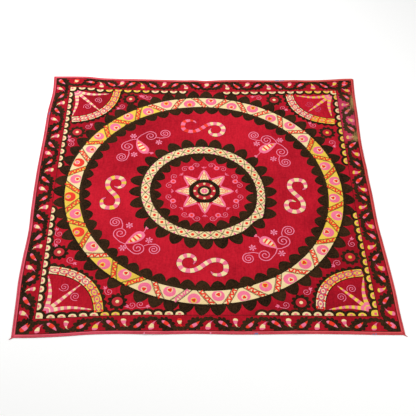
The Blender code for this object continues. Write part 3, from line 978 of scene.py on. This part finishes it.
def makeStar():
    look, area = star, "star"
    middle, profile = look["centre"], np.array(look["point"])

    def at(points, turn):
        return setDown(points, middle, turn)

    for k in range(look["points"]):
        heading = 90 - 45 * k
        right, left = profile * (1, -1), profile
        for side in (right, left):
            along = side[1:] + [(0.0035, 0)]
            out = along + np.array([0.004, look["outline"]]) * (1, np.sign(side[1, 1]))
            out[-1], along[-1] = (0.182, 0), (0.170, 0)
            addRibbon(area, "pink", at(along, heading), at(out, heading), 0, 0.0004)
        addRibbon(area, "cream", at(right, heading), at(left, heading), 1, 0.0005)
        for side in (-1, 1):
            hook = smoothCurve(np.array(look["hook"]) * (1, side), 4)
            addStrand(area, "pink", at(hook, heading), [0.004] * 5 + [0.0045, 0.004, 0.003, 0.001], 1)
        for row, (r, half) in enumerate(look["dashes"]):
            for side in ((-1, 1) if row % 2 == 0 else (-1, 0, 1)):
                across = half * 0.62 * side
                dash = [(r - 0.005, across - 0.002), (r + 0.001, across), (r + 0.005, across + 0.003)]
                addStrand(area, "orange", at(dash, heading), [0.0018, 0.0034, 0.0014], 2)
        addLeaf(area, at(look["tip"], heading), [0.003, 0.010, 0.002], 1, [("pink", 1)])
        for side in (-1, 1):
            tick = at(np.array(look["tick"]) * (1, side), heading)
            addStrand(area, "pink", tick, [0.0018, 0.003, 0.001], 1)
        between = heading - 22.5
        away, petals, heart = look["flower"]
        flower = at([(away, 0)], between)[0]
        addPad("flowers", "pink", rounded(petals, 32, 16, 0.14, k, flower), 1)
        addPad("flowers", "orange", rounded(heart, 16, 5, 0.15, k, flower), 2)
        away, aside, reach = look["spiral"]
        for side in (-1, 1):
            spiralAt = at([(away, 0)], between + aside * side)[0]
            leave = at([(0.223, 0)], between + 3 * side)[0]
            drawLine("field", "rose", tendril(leave, spiralAt, reach, side, 1.3), 0.74)
    # the medallion: rounds of thread laid one over the other
    inner, outer = look["blackRing"]
    addPad(area, "black", rounded(outer, 96, 32, 0.03, 0, middle), 3, crown=0.0002, centre=middle)
    addPad(area, "crimson", rounded(inner, 96, 32, 0.07, 0, middle), 4, crown=0.0002, centre=middle)
    count, reach, size = look["dots"]
    for k in range(count):
        turn = 2 * math.pi * k / count
        dot = (middle[0] + reach * math.cos(turn), middle[1] + reach * math.sin(turn))
        addPad(area, "cream", rounded(size, 14, 5, 0.08, k, dot), 5)
    addPad(area, "black", rounded(look["innerRing"][1], 40, centre=middle), 5, crown=0.0002)
    rounds = (("cream", look["innerRing"][0], 36, 12, 0.06), ("pink", 0.0235, 24, 6, 0.16),
              ("cream", 0.0060, 10, 4, 0.16))
    for level, (thread, reach, n, lobes, depth) in enumerate(rounds):
        addPad(area, thread, rounded(reach, n, lobes, depth, 0, middle), 6 + level)


def spiral(centre, reach, sense, start, turns, inner=0.16):
    # winds in from an angle; sense 1 is anticlockwise
    share = np.linspace(0, 1, int(turns * 22))
    angle = math.radians(start) + sense * share * turns * 2 * math.pi
    r = reach * (1 - (1 - inner) * share)
    return np.c_[centre[0] + r * np.cos(angle), centre[1] + r * np.sin(angle)]


def tendril(start, centre, reach, sense, turns=1.85):
    # leaves a point, meets the spiral's outside smoothly and winds in
    dx, dy = start[0] - centre[0], start[1] - centre[1]
    away = max(math.hypot(dx, dy), reach * 1.02)
    swing = math.atan2(math.sqrt(away * away - reach * reach), reach)
    first = math.degrees(math.atan2(dy, dx) + sense * swing)
    wound = spiral(centre, reach, sense, first, turns)
    middle = (np.array(start) + wound[0]) / 2
    bow = (middle - centre) / np.hypot(*(middle - centre)) * 0.10 * np.hypot(*(wound[0] - start))
    return np.r_[smoothCurve([start, middle + bow, wound[0]], 5)[:-1], wound]


# S motifs: the spine of the right-hand one, in mm about its middle; the others are turned
sMotif = {
    "spine": [(46, 49), (63.7, 61.4), (70.4, 86.6), (57, 125.7), (20.7, 136.8), (-15.6, 128.5), (-33.5, 92.2),
              (-29.6, 53), (-4.5, 14), (23.5, -19.5), (40.2, -58.6), (31.8, -108.9), (-10, -131),
              (-54.7, -114.5), (-67, -75.4), (-54.7, -47.5), (-29.6, -39), (-4.5, -50)],
    "width": 0.0300, "stripe": 0.0242,
}
sColumns = ("where", "centre", "turn", "size")
sPlaces = [("right", (0.549, -0.054), 0, 0.97), ("far", (-0.012, 0.542), 90, 1.0),
           ("left", (-0.5755, -0.025), 180, 0.93), ("near", (-0.035, -0.578), 270, 1.0)]


def makeSMotifs():
    for row in sPlaces:
        motif = dict(zip(sColumns, row))
        spine = setDown(smoothCurve(np.array(sMotif["spine"]) / 1000 * motif["size"], 6), motif["centre"],
                        motif["turn"])
        n = len(spine)
        t = np.linspace(0, 1, n)
        widths = sMotif["width"] * np.clip(np.minimum(t, 1 - t) / 0.15, 0.04, 1) ** 0.55
        length = np.hypot(*np.diff(spine, axis=0).T).sum()
        count = int(length / sMotif["stripe"])
        parts = []
        for i in range(count):
            light = "cream"
            if motif["where"] == "far" and i < count / 2:
                light = "orange"
            if motif["where"] == "left" and i % 4 == 1:
                light = "yellow"
            parts.append((light if i % 2 else "pink", dice.uniform(0.8, 1.2)))
        addLeaf("field", spine, widths, 1, parts, crown=0.0006)
        over = sideways(spine) * (widths / 2 + 0.0012)[:, None]
        for side in (-1, 1):
            drawLine("field", "black", spine + over * side, 0.55)


# Sprigs on the diagonals: a striped bud, tendrils that end in spirals, and small flowers
sprigs = [
    {"tip": (-0.448, 0.4345), "base": (-0.377, 0.307),
     "flowers": [(-0.4715, 0.461), (-0.304, 0.4055), (-0.46, 0.293)],
     "spirals": [(-0.359, 0.463), (-0.267, 0.487), (-0.504, 0.365), (-0.539, 0.2725)],
     "tail": (-0.351, 0.313)},
    {"tip": (0.466, 0.403), "base": (0.352, 0.319),
     "flowers": [(0.333, 0.3955), (0.487, 0.430), (0.433, 0.260)],
     "spirals": [(0.3995, 0.430), (0.3205, 0.474), (0.4885, 0.3215), (0.508, 0.230)], "tail": (0.327, 0.286)},
    {"tip": (-0.483, -0.4275), "base": (-0.377, -0.341),
     "flowers": [(-0.463, -0.290), (-0.496, -0.458), (-0.343, -0.401)],
     "spirals": [(-0.513, -0.3485), (-0.547, -0.265), (-0.4075, -0.4595), (-0.314, -0.468)],
     "tail": (-0.365, -0.314)},
    {"tip": (0.404, -0.462), "base": (0.306, -0.387),
     "flowers": [(0.393, -0.341), (0.260, -0.456), (0.4275, -0.497)],
     "spirals": [(0.443, -0.405), (0.483, -0.330), (0.330, -0.508), (0.234, -0.532)],
     "tail": (0.289, -0.370)},
]
sprigLook = {
    "budWidth": 0.067, "innerWidth": 0.041, "spirals": (0.0435, 0.0385), "flower": 0.0220, "line": 1.36,
    "stripes": [("cream", 1.1), ("orange", 0.8), ("cream", 1.1), ("orange", 0.8), ("cream", 1),
                ("orange", 0.8), ("yellow", 1)],
}


def addFlower(area, centre, reach, turn, thread="rose"):
    for k in range(6):
        spine = [(reach * 0.22, 0), (reach * 0.5, 0.0006), (reach * 0.8, 0), (reach, 0)]
        petal = setDown(spine, centre, turn + 60 * k)
        addLeaf(area, petal, [0.003, 0.0078, 0.0108, 0.0055], 1, [(thread, 1)])
    addPad(area, thread, rounded(0.0040, 8, centre=centre), 1)


def makeSprigs():
    look = sprigLook
    for sprig in sprigs:
        tip, base = np.array(sprig["tip"]), np.array(sprig["base"])
        heading = headingOf(base, tip)
        length = math.hypot(*(tip - base))
        t = np.linspace(0, 1, 21)
        spine = setDown(np.c_[t * length, 0.006 * np.sin(t * math.pi)], base, heading)
        addLeaf("field", spine, leafWidths(21, look["budWidth"], 0.45, 0.95), 1, [("pink", 1)], crown=0.0005)
        inner = setDown(np.c_[length * (0.16 + 0.70 * t), 0.004 + 0.004 * np.sin(t * math.pi)], base, heading)
        widths = leafWidths(21, look["innerWidth"], 0.45, 0.9)
        addLeaf("field", inner, widths, 3, look["stripes"], crown=0.0005)
        for lobe in (-1, 1):
            tail = setDown(smoothCurve([(0.004, 0), (-0.006, 0.004 * lobe), (-0.013, 0.010 * lobe)], 4),
                           sprig["tail"], heading)
            addLeaf("field", tail, leafWidths(len(tail), 0.012, 0.8, 0.5), 1, [("pink", 1)])
        drawLine("field", "rose", smoothCurve([base, (base + sprig["tail"]) / 2 + 0.003, sprig["tail"]], 4),
                 look["line"])
        for inside, outside in (sprig["spirals"][:2], sprig["spirals"][2:]):
            inside, outside = np.array(inside), np.array(outside)
            toSpiral = inside - tip
            ahead = tip - base
            sense = 1 if ahead[0] * toSpiral[1] - ahead[1] * toSpiral[0] > 0 else -1
            small, large = look["spirals"]
            drawLine("field", "rose", tendril(tip, inside, small, sense), look["line"])
            step = outside - inside
            sidewards = np.array([-step[1], step[0]]) / np.hypot(*step)
            leave = inside + (step / np.hypot(*step) * 0.85 + sidewards * 0.53 * sense) * small
            drawLine("field", "rose", tendril(leave, outside, large, -sense, 2.1), look["line"])
        for k, flower in enumerate(sprig["flowers"]):
            addFlower("field", flower, look["flower"], heading + 20 * k)


makeBigRing()
print("suzani: outer ring sewn")
makeSmallRing()
makeStar()
print("suzani: inner ring and star sewn")
makeSMotifs()
makeSprigs()
print("suzani: field sewn")


# The border. Each side is travelled clockwise; depth is 0 on the cloth's edge and 1 on the inner line.
innerLine = {
    "far": [(-1.05, 0.943), (-0.93, 0.943), (-0.86, 0.939), (-0.79, 0.936), (-0.725, 0.920), (-0.6, 0.9165),
            (-0.4, 0.911), (-0.1, 0.906), (0.15, 0.902), (0.5, 0.908), (0.92, 0.920), (1.05, 0.920)],
    "near": [(-1.05, -0.938), (-0.93, -0.938), (-0.80, -0.931), (-0.62, -0.9205), (0.0, -0.915),
             (0.93, -0.925), (1.05, -0.925)],
    "left": [(-1.05, -0.940), (-0.6, -0.938), (0.1, -0.936), (0.93, -0.929), (1.05, -0.929)],
    "right": [(-1.05, 0.928), (-0.9, 0.927), (-0.55, 0.917), (-0.19, 0.907), (0.25, 0.909), (0.85, 0.9155),
              (1.05, 0.916)],
}
innerCorners = {"farLeft": (-0.929, 0.943), "farRight": (0.9165, 0.920), "nearLeft": (-0.940, -0.938),
                "nearRight": (0.9275, -0.925)}


def cornerSpot(corner, across, up):
    # plan position at a distance from a corner of the inner line, towards the cloth's middle
    x, y = innerCorners[corner]
    return np.stack([x + across * (-1 if "Right" in corner else 1),
                     y + up * (1 if "near" in corner else -1)], -1)


def borderSpot(side, along, depth):
    # plan position in the border; along runs 0 to 1 clockwise
    along, depth = np.broadcast_arrays(np.asarray(along, float), np.asarray(depth, float))
    share = along if side in ("far", "left") else 1 - along
    forward = (share - 0.5) * cloth["side"]
    outer = (cloth["side"] / 2 - inward(side, share)) * (1 if side in ("far", "right") else -1)
    across = outer + (smoothTable(innerLine[side], forward) - outer) * depth
    return np.stack([forward, across] if side in ("far", "near") else [across, forward], -1)


borderHeading = {"far": 0, "right": -90, "near": 180, "left": 90}
borderAlmonds = {
    "near": [0.0336, 0.1147, 0.184, 0.2585, 0.328, 0.396, 0.465, 0.538, 0.611, 0.683, 0.753, 0.827, 0.902,
             0.9695],
    "left": [0.0304, 0.108, 0.179, 0.250, 0.320, 0.391, 0.462, 0.535, 0.607, 0.680, 0.753, 0.834, 0.903,
             0.974],
    "far": [0.0275, 0.121, 0.1925, 0.2575, 0.3285, 0.402, 0.471, 0.5395, 0.607, 0.676, 0.746, 0.8195, 0.899,
            0.9695],
    "right": [0.0245, 0.0935, 0.1625, 0.242, 0.315, 0.3945, 0.4635, 0.5335, 0.601, 0.676, 0.7495, 0.821,
              0.8915, 0.9665],
}
borderLook = {
    "almond": (0.067, 0.0235), "surround": (0.0560, 0.0420), "lobes": 11, "slant": 40, "vine": 0.0062,
    "vineTooth": 0.0085, "vineOut": 0.82, "vineIn": 0.28, "comma": 0.0290,
    "girth": {"far": 0.97, "right": 1.08, "near": 1.03, "left": 1.12},
    # a comma's spine: its tail, for heads at the outer and at the inner side, and its head
    "outTail": [(-0.034, -0.040), (-0.018, -0.030), (-0.005, -0.013)],
    "inTail": [(-0.024, -0.041), (-0.010, -0.033), (-0.002, -0.017)],
    "head": [(0.001, 0.003), (-0.001, 0.015)],
}
# Commas worked in yellow where the others have cream, counted clockwise along each side from 0
yellowCommas = {"far": (3, 11, 12), "right": range(13), "near": (0, 10), "left": ()}
# and in orange where they have pink
orangeCommas = {"far": (0,), "near": (7,)}


def insideTape(points):
    # keeps a shape from running under the tape
    x, y = np.asarray(points, float).T
    rim = cloth["tapeWidth"] + 0.001
    left, right, near, far = edgeLines(x / cloth["side"] + 0.5, y / cloth["side"] + 0.5)
    return np.c_[np.clip(x, left + rim, right - rim), np.clip(y, near + rim, far - rim)]


def makeBorder():
    look, area = borderLook, "border"
    for side in ("far", "right", "near", "left"):
        heading = borderHeading[side]
        spots = np.array(borderAlmonds[side])
        for k, along in enumerate(spots):
            centre = borderSpot(side, along, 0.52)
            slant = look["slant"] * (-1 if k % 2 == 0 else 1) + dice.uniform(-6, 6)
            if side == "far" and k == 1:
                slant = -8
            turn = heading + slant
            # the corner ones are smaller, and the one where two faded sides meet is the smallest
            corner = (0.72 if side == "right" else 0.88) if k == 0 else 1
            long, wide = np.array(look["almond"]) * dice.uniform(0.9, 1.08) * corner
            t = np.linspace(-0.5, 0.5, 15)
            spine = setDown(np.c_[t * long, 0.0045 * np.cos(t * math.pi)], centre, turn, 1 if k % 2 else -1)
            surround = rounded(look["girth"][side], 110, look["lobes"], 0.27, dice.uniform(0, 3), power=0.85)
            surround = surround * look["surround"]
            addPad(area, "black", insideTape(setDown(surround, centre, turn)), 0, crown=0.0003, centre=centre,
                   grainTurn=turn + 40)
            first, second = ("orange", "pink") if (k % 2 == 0) == (side == "left") else ("pink", "orange")
            parts = [(first, dice.uniform(0.6, 1)), (second, dice.uniform(0.8, 1.3)),
                     (first, dice.uniform(0.5, 1))]
            addLeaf(area, spine if k else spine[::-1], leafWidths(15, wide, 0.9, 0.5), 2, parts, crown=0.0006)
        # the vine weaves between the almonds and round the commas
        middles = (spots[1:] + spots[:-1]) / 2
        knots = [(spots[0] - 0.002, 0.52)]
        for k, along in enumerate(middles):
            knots += [(along, look["vineOut"] if k % 2 == 0 else look["vineIn"]), (spots[k + 1], 0.52)]
        fine = np.arange(knots[0][0], knots[-1][0], 0.0019)
        spine = borderSpot(side, fine, smoothTable(knots, fine))
        beat = fine * cloth["side"] * math.pi / 0.025
        edges = [insideTape(spine + turn * sideways(spine) * (look["vine"] + look["vineTooth"]
                 * np.abs(np.sin(beat + turn * 0.7)) ** 0.6)[:, None]) for turn in (-1, 1)]
        addRibbon(area, "black", *edges, 1, crown=0.0003, grainTurn=60)
        for k, along in enumerate(middles):
            out = k % 2 == 0
            toward = 1 if out else -1
            head = borderSpot(side, along + 0.002, 0.36 if out else 0.70)
            # tail back along the border, and away from the edge that the head lies at
            curve = smoothCurve(look["outTail" if out else "inTail"] + look["head"], 5) * (1, toward)
            spine = setDown(curve * dice.uniform(0.92, 1.06), head, heading + dice.uniform(-8, 8))
            widths = leafWidths(len(spine), look["comma"] * dice.uniform(0.88, 1.1), 2.0, 0.42)
            pale = "yellow" if k in yellowCommas[side] else "cream"
            warm = "orange" if k in orangeCommas.get(side, ()) else "pink"
            first, second = (warm, pale) if out or warm == "orange" else (pale, warm)
            parts = [(first, 1.1), (second, dice.uniform(0.6, 0.9)), (first, dice.uniform(0.3, 0.6))]
            addLeaf(area, spine, widths, 2, parts, crown=0.0006)
        run = np.linspace(0.055, 0.945, 120)
        drawLine(area, "black", borderSpot(side, run, 1.0), 0.85)


# Scallops inside the inner line: along clockwise from the side's start; first and last, and how many
scallopRuns = [
    ("far", 0.0965, 0.428, 12, [(0.175, 0.315)]), ("far", 0.573, 0.905, 12, [(0.83, 0.91)]),
    ("right", 0.0948, 0.384, 10, [(0.0, 0.12), (0.21, 0.385)]), ("right", 0.601, 0.904, 12, [(0.6, 0.92)]),
    ("near", 0.1014, 0.363, 10, [(0.07, 0.165)]), ("near", 0.577, 0.908, 13, [(0.735, 0.775)]),
    ("left", 0.0915, 0.417, 13, []), ("left", 0.595, 0.910, 12, []),
]
scallopLook = {"width": 0.048, "height": 0.0215, "arc": 0.0080, "corner": 0.041}


def makeScallops():
    look, area = scallopLook, "scallops"
    turn = np.linspace(0, math.pi, 13)
    for side, first, last, count, yellowRuns in scallopRuns:
        heading = borderHeading[side]
        for along in np.linspace(first, last, count):
            base = borderSpot(side, along, 1.0)
            pale = "yellow" if within(along, yellowRuns) else "cream"
            wide, high = look["width"] * dice.uniform(0.94, 1.05), look["height"] * dice.uniform(0.9, 1.1)
            half = np.c_[np.cos(turn) * wide / 2, -0.0025 - np.sin(turn) ** 0.9 * high]
            addPad(area, pale, setDown(half, base, heading), 1,
                   centre=setDown([(0, -0.3 * high)], base, heading)[0])
            core = np.c_[np.cos(turn) * wide * 0.24, -0.0035 - np.sin(turn) * high * 0.54]
            addPad(area, "hotPink", setDown(core, base, heading), 2)
            arc = np.c_[np.cos(turn) * (wide / 2 + look["arc"]),
                        -np.sin(turn) ** 0.9 * (high + look["arc"]) - 0.003]
            addStrand(area, "black", setDown(arc, base, heading), look["arc"], 0, grainTurn=0)
    size, out = look["corner"], look["corner"] + 0.006
    bend = size * 0.93
    rim = smoothCurve([(out, 0.003), (out, size * 0.45), (bend, bend), (size * 0.45, out), (0.003, out)], 3)
    turn = np.linspace(math.pi / 2, 0, 7)
    rounding = size * (0.45 + 0.55 * np.c_[np.sin(turn), np.cos(turn)])
    block = np.vstack([(0.003, 0.003), (size, 0.003), rounding, (0.003, size)])
    for name in innerCorners:
        pale = "yellow" if name == "nearRight" else "cream"
        thread, reach = ("orange", 0.014) if name == "farRight" else ("hotPink", 0.010)
        addPad(area, pale, cornerSpot(name, *block.T), 1)
        addPad(area, thread, rounded(reach, 16, 5, 0.1, 0, cornerSpot(name, size * 0.40, size * 0.40)), 2)
        addStrand(area, "black", cornerSpot(name, *rim.T), look["arc"] * 1.15, 0)


# Corner fans: a curved band of linked ovals, three striped rays and two spirals
fans = [
    {"corner": "farLeft", "across": 0.352, "up": 0.353, "square": 0.85, "oval": 1.9,
     "yellow": [(0, 34)], "spiral": "rose",
     "apex": (-0.881, 0.890), "tips": [(-0.659, 0.871), (-0.888, 0.654), (-0.715, 0.709)]},
    {"corner": "farRight", "across": 0.3585, "up": 0.337, "square": 0.80, "oval": 1.9,
     "yellow": [(58, 90)], "spiral": "mutedPink",
     "apex": (0.869, 0.864), "tips": [(0.634, 0.864), (0.8555, 0.664), (0.7045, 0.708)],
     "spirals": [(0.717, 0.782), (0.773, 0.732)]},
    {"corner": "nearLeft", "across": 0.366, "up": 0.352, "square": 0.85, "oval": 1.5,
     "yellow": [(0, 40)], "spiral": "rose",
     "apex": (-0.886, -0.886), "tips": [(-0.643, -0.877), (-0.899, -0.655), (-0.715, -0.715)],
     "spirals": [(-0.803, -0.730), (-0.737, -0.792)]},
    {"corner": "nearRight", "across": 0.342, "up": 0.318, "square": 0.75, "oval": 1.9,
     "yellow": [(34, 90)], "spiral": "rose",
     "apex": (0.877, -0.877), "tips": [(0.658, -0.881), (0.879, -0.667), (0.724, -0.724)],
     "spirals": [(0.802, -0.744), (0.736, -0.799)]},
]
fanLook = {
    # in degrees: from where to where the band, its edging and the waving lines run, and where the ovals
    # begin and how far they go
    "cuts": (5.5, 85), "span": (4, 86), "first": 6, "over": 79, "lineSpan": (6.5, 84.5),
    "band": 0.052, "ovals": 9, "lobes": 13, "edging": 0.023, "spirals": (0.135, 0.200), "spiral": 0.0285,
    "rayWidth": 0.0270, "stripe": 0.0180, "bow": (0.065, -0.065, 0.0),
    # the lines' sway, the pink heart in each oval, and the orange knots in from the band's edges
    "sway": 0.0150, "heart": 0.0086, "knot": 0.0094, "knotInset": 0.0085,
}


def fanSpot(fan, angle, out):
    # angle 0 lies along the far or near side, 90 along the left or right one; out is metres past the band
    turn = np.radians(angle)
    return cornerSpot(fan["corner"], (fan["across"] + out) * np.abs(np.cos(turn)) ** fan["square"],
                      (fan["up"] + out) * np.abs(np.sin(turn)) ** fan["square"])


def makeFans():
    look, area = fanLook, "fans"
    for fan in fans:
        corner = fan["corner"]
        mirror = 1 if corner in ("farRight", "nearLeft") else -1
        # the band, in short patches
        cuts = np.linspace(*look["cuts"], 17)
        for low, high in zip(cuts[:-1], cuts[1:]):
            a = np.linspace(low, high, 4)
            pale = "yellow" if within((low + high) / 2, fan["yellow"]) else "cream"
            addRibbon(area, pale, fanSpot(fan, a, 0), fanSpot(fan, a, -look["band"]), 1, 0.0004, 0)
        # its black edging, lobed outside and plain inside
        low, high = look["span"]
        a = np.linspace(low, high, 150)
        lobe = 0.35 + 0.65 * np.abs(np.sin(np.radians((a - low) / (high - low) * 180 * look["lobes"])))
        plain = a[::3]
        for angle, near, away, crown in ((a, -0.004, look["edging"] * lobe, 0.0003),
                                         (plain, -look["band"] + 0.002, -look["band"] - 0.004, 0.0002)):
            addRibbon(area, "black", fanSpot(fan, angle, near), fanSpot(fan, angle, away), 0, crown, 20)
        # linked ovals between two waving lines, which are orange over the yellow of the far right fan
        sway = np.sin((a - look["first"]) / look["over"] * look["ovals"] * math.pi)
        sway = look["sway"] * np.sign(sway) * np.abs(sway) ** 0.6
        first, last = look["lineSpan"]
        change = 58 if corner == "farRight" else last
        for side in (-1, 1):
            line = fanSpot(fan, a, -look["band"] / 2 + side * sway)
            drawLine("fanBands", "mutedPink", line[(a > first) & (a <= change)], fan["oval"])
            if change < last:
                drawLine("fanBands", "orange", line[(a >= change) & (a < last)], 1.5)
        for k in range(look["ovals"]):
            middle = look["first"] + (k + 0.5) / look["ovals"] * look["over"]
            knot = first + k / look["ovals"] * look["over"]
            heart = fanSpot(fan, middle, -look["band"] / 2)
            addPad(area, "hotPink", rounded(look["heart"], 12, 4, 0.1, k, heart), 3)
            for out in (-look["knotInset"], -look["band"] + look["knotInset"]):
                addPad(area, "orange", rounded(look["knot"], 12, 3, 0.2, k, fanSpot(fan, knot, out)), 2)
        # the rays
        pale = "yellow" if "Right" in corner else "cream"
        for k, tip in enumerate(fan["tips"]):
            start, end = np.array(fan["apex"]), np.array(tip)
            step = end - start
            bow = np.array([-step[1], step[0]]) * look["bow"][k] * mirror
            spine = smoothCurve([start, (start + end) / 2 + bow, end], 12)
            t = np.linspace(0, 1, len(spine))
            base = 1 + 0.25 * np.exp(-9 * t) if k < 2 else 0.6 + 0.4 * np.clip(t / 0.2, 0, 1)
            widths = look["rayWidth"] * base * np.clip(1.02 - t, 0, 1) ** 0.52
            count = int(np.hypot(*step) / look["stripe"])
            parts = [("pink", 0.9), (pale, 0.35)]
            parts += [(("pink", pale)[i % 2], dice.uniform(0.85, 1.15)) for i in range(count - 1)]
            addLeaf(area, spine, widths, 1, parts, crown=0.0005)
        near, away = look["spirals"]
        spots = fan.get("spirals", [cornerSpot(corner, near, away), cornerSpot(corner, away, near)])
        for k, (spot, sense) in enumerate(zip(spots, (mirror, -mirror))):
            drawLine(area, fan["spiral"], spiral(spot, look["spiral"], sense, 200 + 90 * k, 1.75, 0.14), 0.86)


rosettes = [
    (-0.507, 0.820), (-0.842, 0.496), (0.477, 0.820), (0.807, 0.502), (-0.857, -0.489), (-0.504, -0.827),
    (0.5085, -0.836), (0.822, -0.5235),
]
rosetteLook = {"disc": 0.031, "dot": 0.0125, "petals": 10, "reach": 0.057}


def makeRosettes():
    look, area = rosetteLook, "rosettes"
    for k, centre in enumerate(rosettes):
        addPad(area, "black", rounded(look["reach"], 100, look["petals"], 0.24, k, centre), 0, crown=0.0004,
               grainTurn=30 * k)
        addPad(area, "crimson", rounded(look["disc"], 36, centre=centre), 2, crown=0.0005)
        pale = "yellow" if k in (3, 7) else "cream"
        addPad(area, pale, rounded(look["dot"], 22, 9, 0.10, k, centre), 3)


# Small sprigs between the ring and the border: spiral, turn of the spiral, bud
smallSprigs = [
    ((-0.385, 0.838), 1, (-0.424, 0.846)), ((-0.415, 0.842), -1, (-0.436, 0.850)),
    ((-0.874, 0.385), -1, (-0.885, 0.420)), ((-0.870, 0.425), 1, (-0.888, 0.452)),
    ((-0.564, 0.747), 1, (-0.585, 0.728)), ((-0.776, 0.550), -1, (-0.757, 0.566)),
    ((0.370, 0.840), -1, (0.332, 0.850)), ((0.827, 0.411), 1, (0.838, 0.378)),
    ((0.532, 0.741), -1, (0.550, 0.724)), ((0.7225, 0.573), 1, (0.704, 0.590)),
    ((-0.872, -0.352), 1, (-0.886, -0.322)), ((-0.872, -0.410), -1, (-0.880, -0.436)),
    ((-0.423, -0.850), 1, (-0.446, -0.856)), ((-0.377, -0.846), -1, (-0.338, -0.859)),
    ((-0.787, -0.543), -1, (-0.762, -0.567)), ((-0.554, -0.760), 1, (-0.574, -0.738)),
    ((0.422, -0.850), 1, (0.380, -0.857)), ((0.5455, -0.763), -1, (0.567, -0.747)),
    ((0.846, -0.4275), 1, (0.850, -0.392)), ((0.743, -0.566), -1, (0.720, -0.583)),
]
smallSprigLook = {
    "spiral": 0.0230, "turns": 1.35, "line": 0.76, "width": 0.012,
    "bud": [(-0.008, 0), (0.004, 0.001), (0.018, 0)],
    "leaf": [(-0.004, 0.002), (0.001, 0.008), (0.007, 0.012)],
}


def makeSmallSprigs():
    look, area = smallSprigLook, "sprigs"
    for centre, sense, bud in smallSprigs:
        heading = headingOf(centre, bud)
        drawLine(area, "rose", tendril(bud, centre, look["spiral"], sense, look["turns"]), look["line"])
        body = setDown(smoothCurve(look["bud"], 4), bud, heading)
        addLeaf(area, body, leafWidths(len(body), look["width"], 0.5, 0.9), 1, [("pink", 1)])
        for side in (-1, 1):
            leaf = setDown(look["leaf"], bud, heading, side)
            addLeaf(area, leaf, [0.004, 0.005, 0.002], 1, [("pink", 1)])


makeBorder()
makeScallops()
print("suzani: border sewn")
makeFans()
makeRosettes()
makeSmallSprigs()
print("suzani: corners sewn")

for (area, thread), spool in spools.items():
    sewPiece(f"silk_{area}_{thread}", spool, silks[thread])
look = stitchSizes
for i, ((area, thread, width), lines) in enumerate(lineWork.items()):
    stitch = stitchTemplate(look["length"] * max(width, 0.8), look["width"] * width, look["height"],
                            lineLift.get(area, -0.0003))
    runTree(f"stitches_{area}_{thread}_{i}", stitchTree, lines, False, {
        "Shape": stitch, "Spacing": look["spacing"] * max(width, 0.8), "Turn Wander": 0.16,
        "Size Wander": 0.10, "Seed": 20 + i, "Thread": silks[thread],
    }, base=foldRise if area.startswith("tape") else faceHeight)
print("suzani: line stitches sewn")


# Floor, soft light, and the camera at the photo's angle
studio = {"floor": "#FFFFFE", "sky": "#FFFFFF", "skyStrength": 0.55, "key": 90, "keySize": 3.0,
          "focal": 784.7, "picture": 416, "pitch": -40.14, "yaw": -2.15, "roll": -1.27,
          "shift": (-0.004, -0.055, 2.313), "keyAt": (-1.6, 1.8, 2.6), "fillAt": (2.2, -1.2, 2.8),
          "fillSize": 3.5, "fillShare": 0.45, "floorReach": 12}


def makeStage():
    far = studio["floorReach"]
    mesh = newMesh("floor", [(-far, -far, 0), (far, -far, 0), (far, far, 0), (-far, far, 0)], [(0, 1, 2, 3)])
    material, _, shader = newMaterial("pale studio floor", 0.9)
    shader.inputs["Base Color"].default_value = hexColour(studio["floor"])
    mesh.materials.append(material)
    newObject("floor", mesh)
    world = bpy.data.worlds.new("soft studio")
    bpy.context.scene.world = world
    world.use_nodes = True
    back = world.node_tree.nodes["Background"]
    back.inputs["Color"].default_value = hexColour(studio["sky"])
    back.inputs["Strength"].default_value = studio["skyStrength"]
    for name, share in (("key", 1), ("fill", studio["fillShare"])):
        lamp = bpy.data.lights.new(name, "AREA")
        lamp.size, lamp.energy = studio[name + "Size"], studio["key"] * share
        lampObject = newObject(name, lamp)
        lampObject.location = studio[name + "At"]
        lampObject.rotation_euler = (-lampObject.location).to_track_quat("-Z", "Y").to_euler()


def makeCamera():
    pitch, yaw, roll = [math.radians(studio[k]) for k in ("pitch", "yaw", "roll")]
    turn = Matrix.Rotation(roll, 3, "Z") @ Matrix.Rotation(pitch, 3, "X") @ Matrix.Rotation(yaw, 3, "Y")
    flip = Matrix.Diagonal((1, -1, -1))
    fromCamera = (flip @ turn @ flip).transposed()
    shift = flip @ (Vector(studio["shift"]) * cloth["side"])
    lens = bpy.data.cameras.new("camera")
    lens.sensor_width, lens.lens = 36.0, studio["focal"] / studio["picture"] * 36.0
    camera = newObject("camera", lens)
    stand = -(fromCamera @ shift) - Vector((cloth["centreX"], cloth["centreY"], 0))
    camera.matrix_world = Matrix.Translation(stand) @ fromCamera.to_4x4()
    bpy.context.scene.camera = camera


makeStage()
makeCamera()
bpy.context.scene.view_settings.view_transform = "Standard"  # so that dyed colours show as dyed

for name, piece in pieces.items():
    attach(piece, "root")
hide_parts("cloth")
for edge in ("near", "far", "left", "right"):
    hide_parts("binding_" + edge)

counts = {name: sum(len(p.vertices) - 2 for p in piece.data.polygons) for name, piece in pieces.items()}
print("suzani:", len(counts), "pieces,", sum(counts.values()), "triangles, most in one", max(counts.values()))
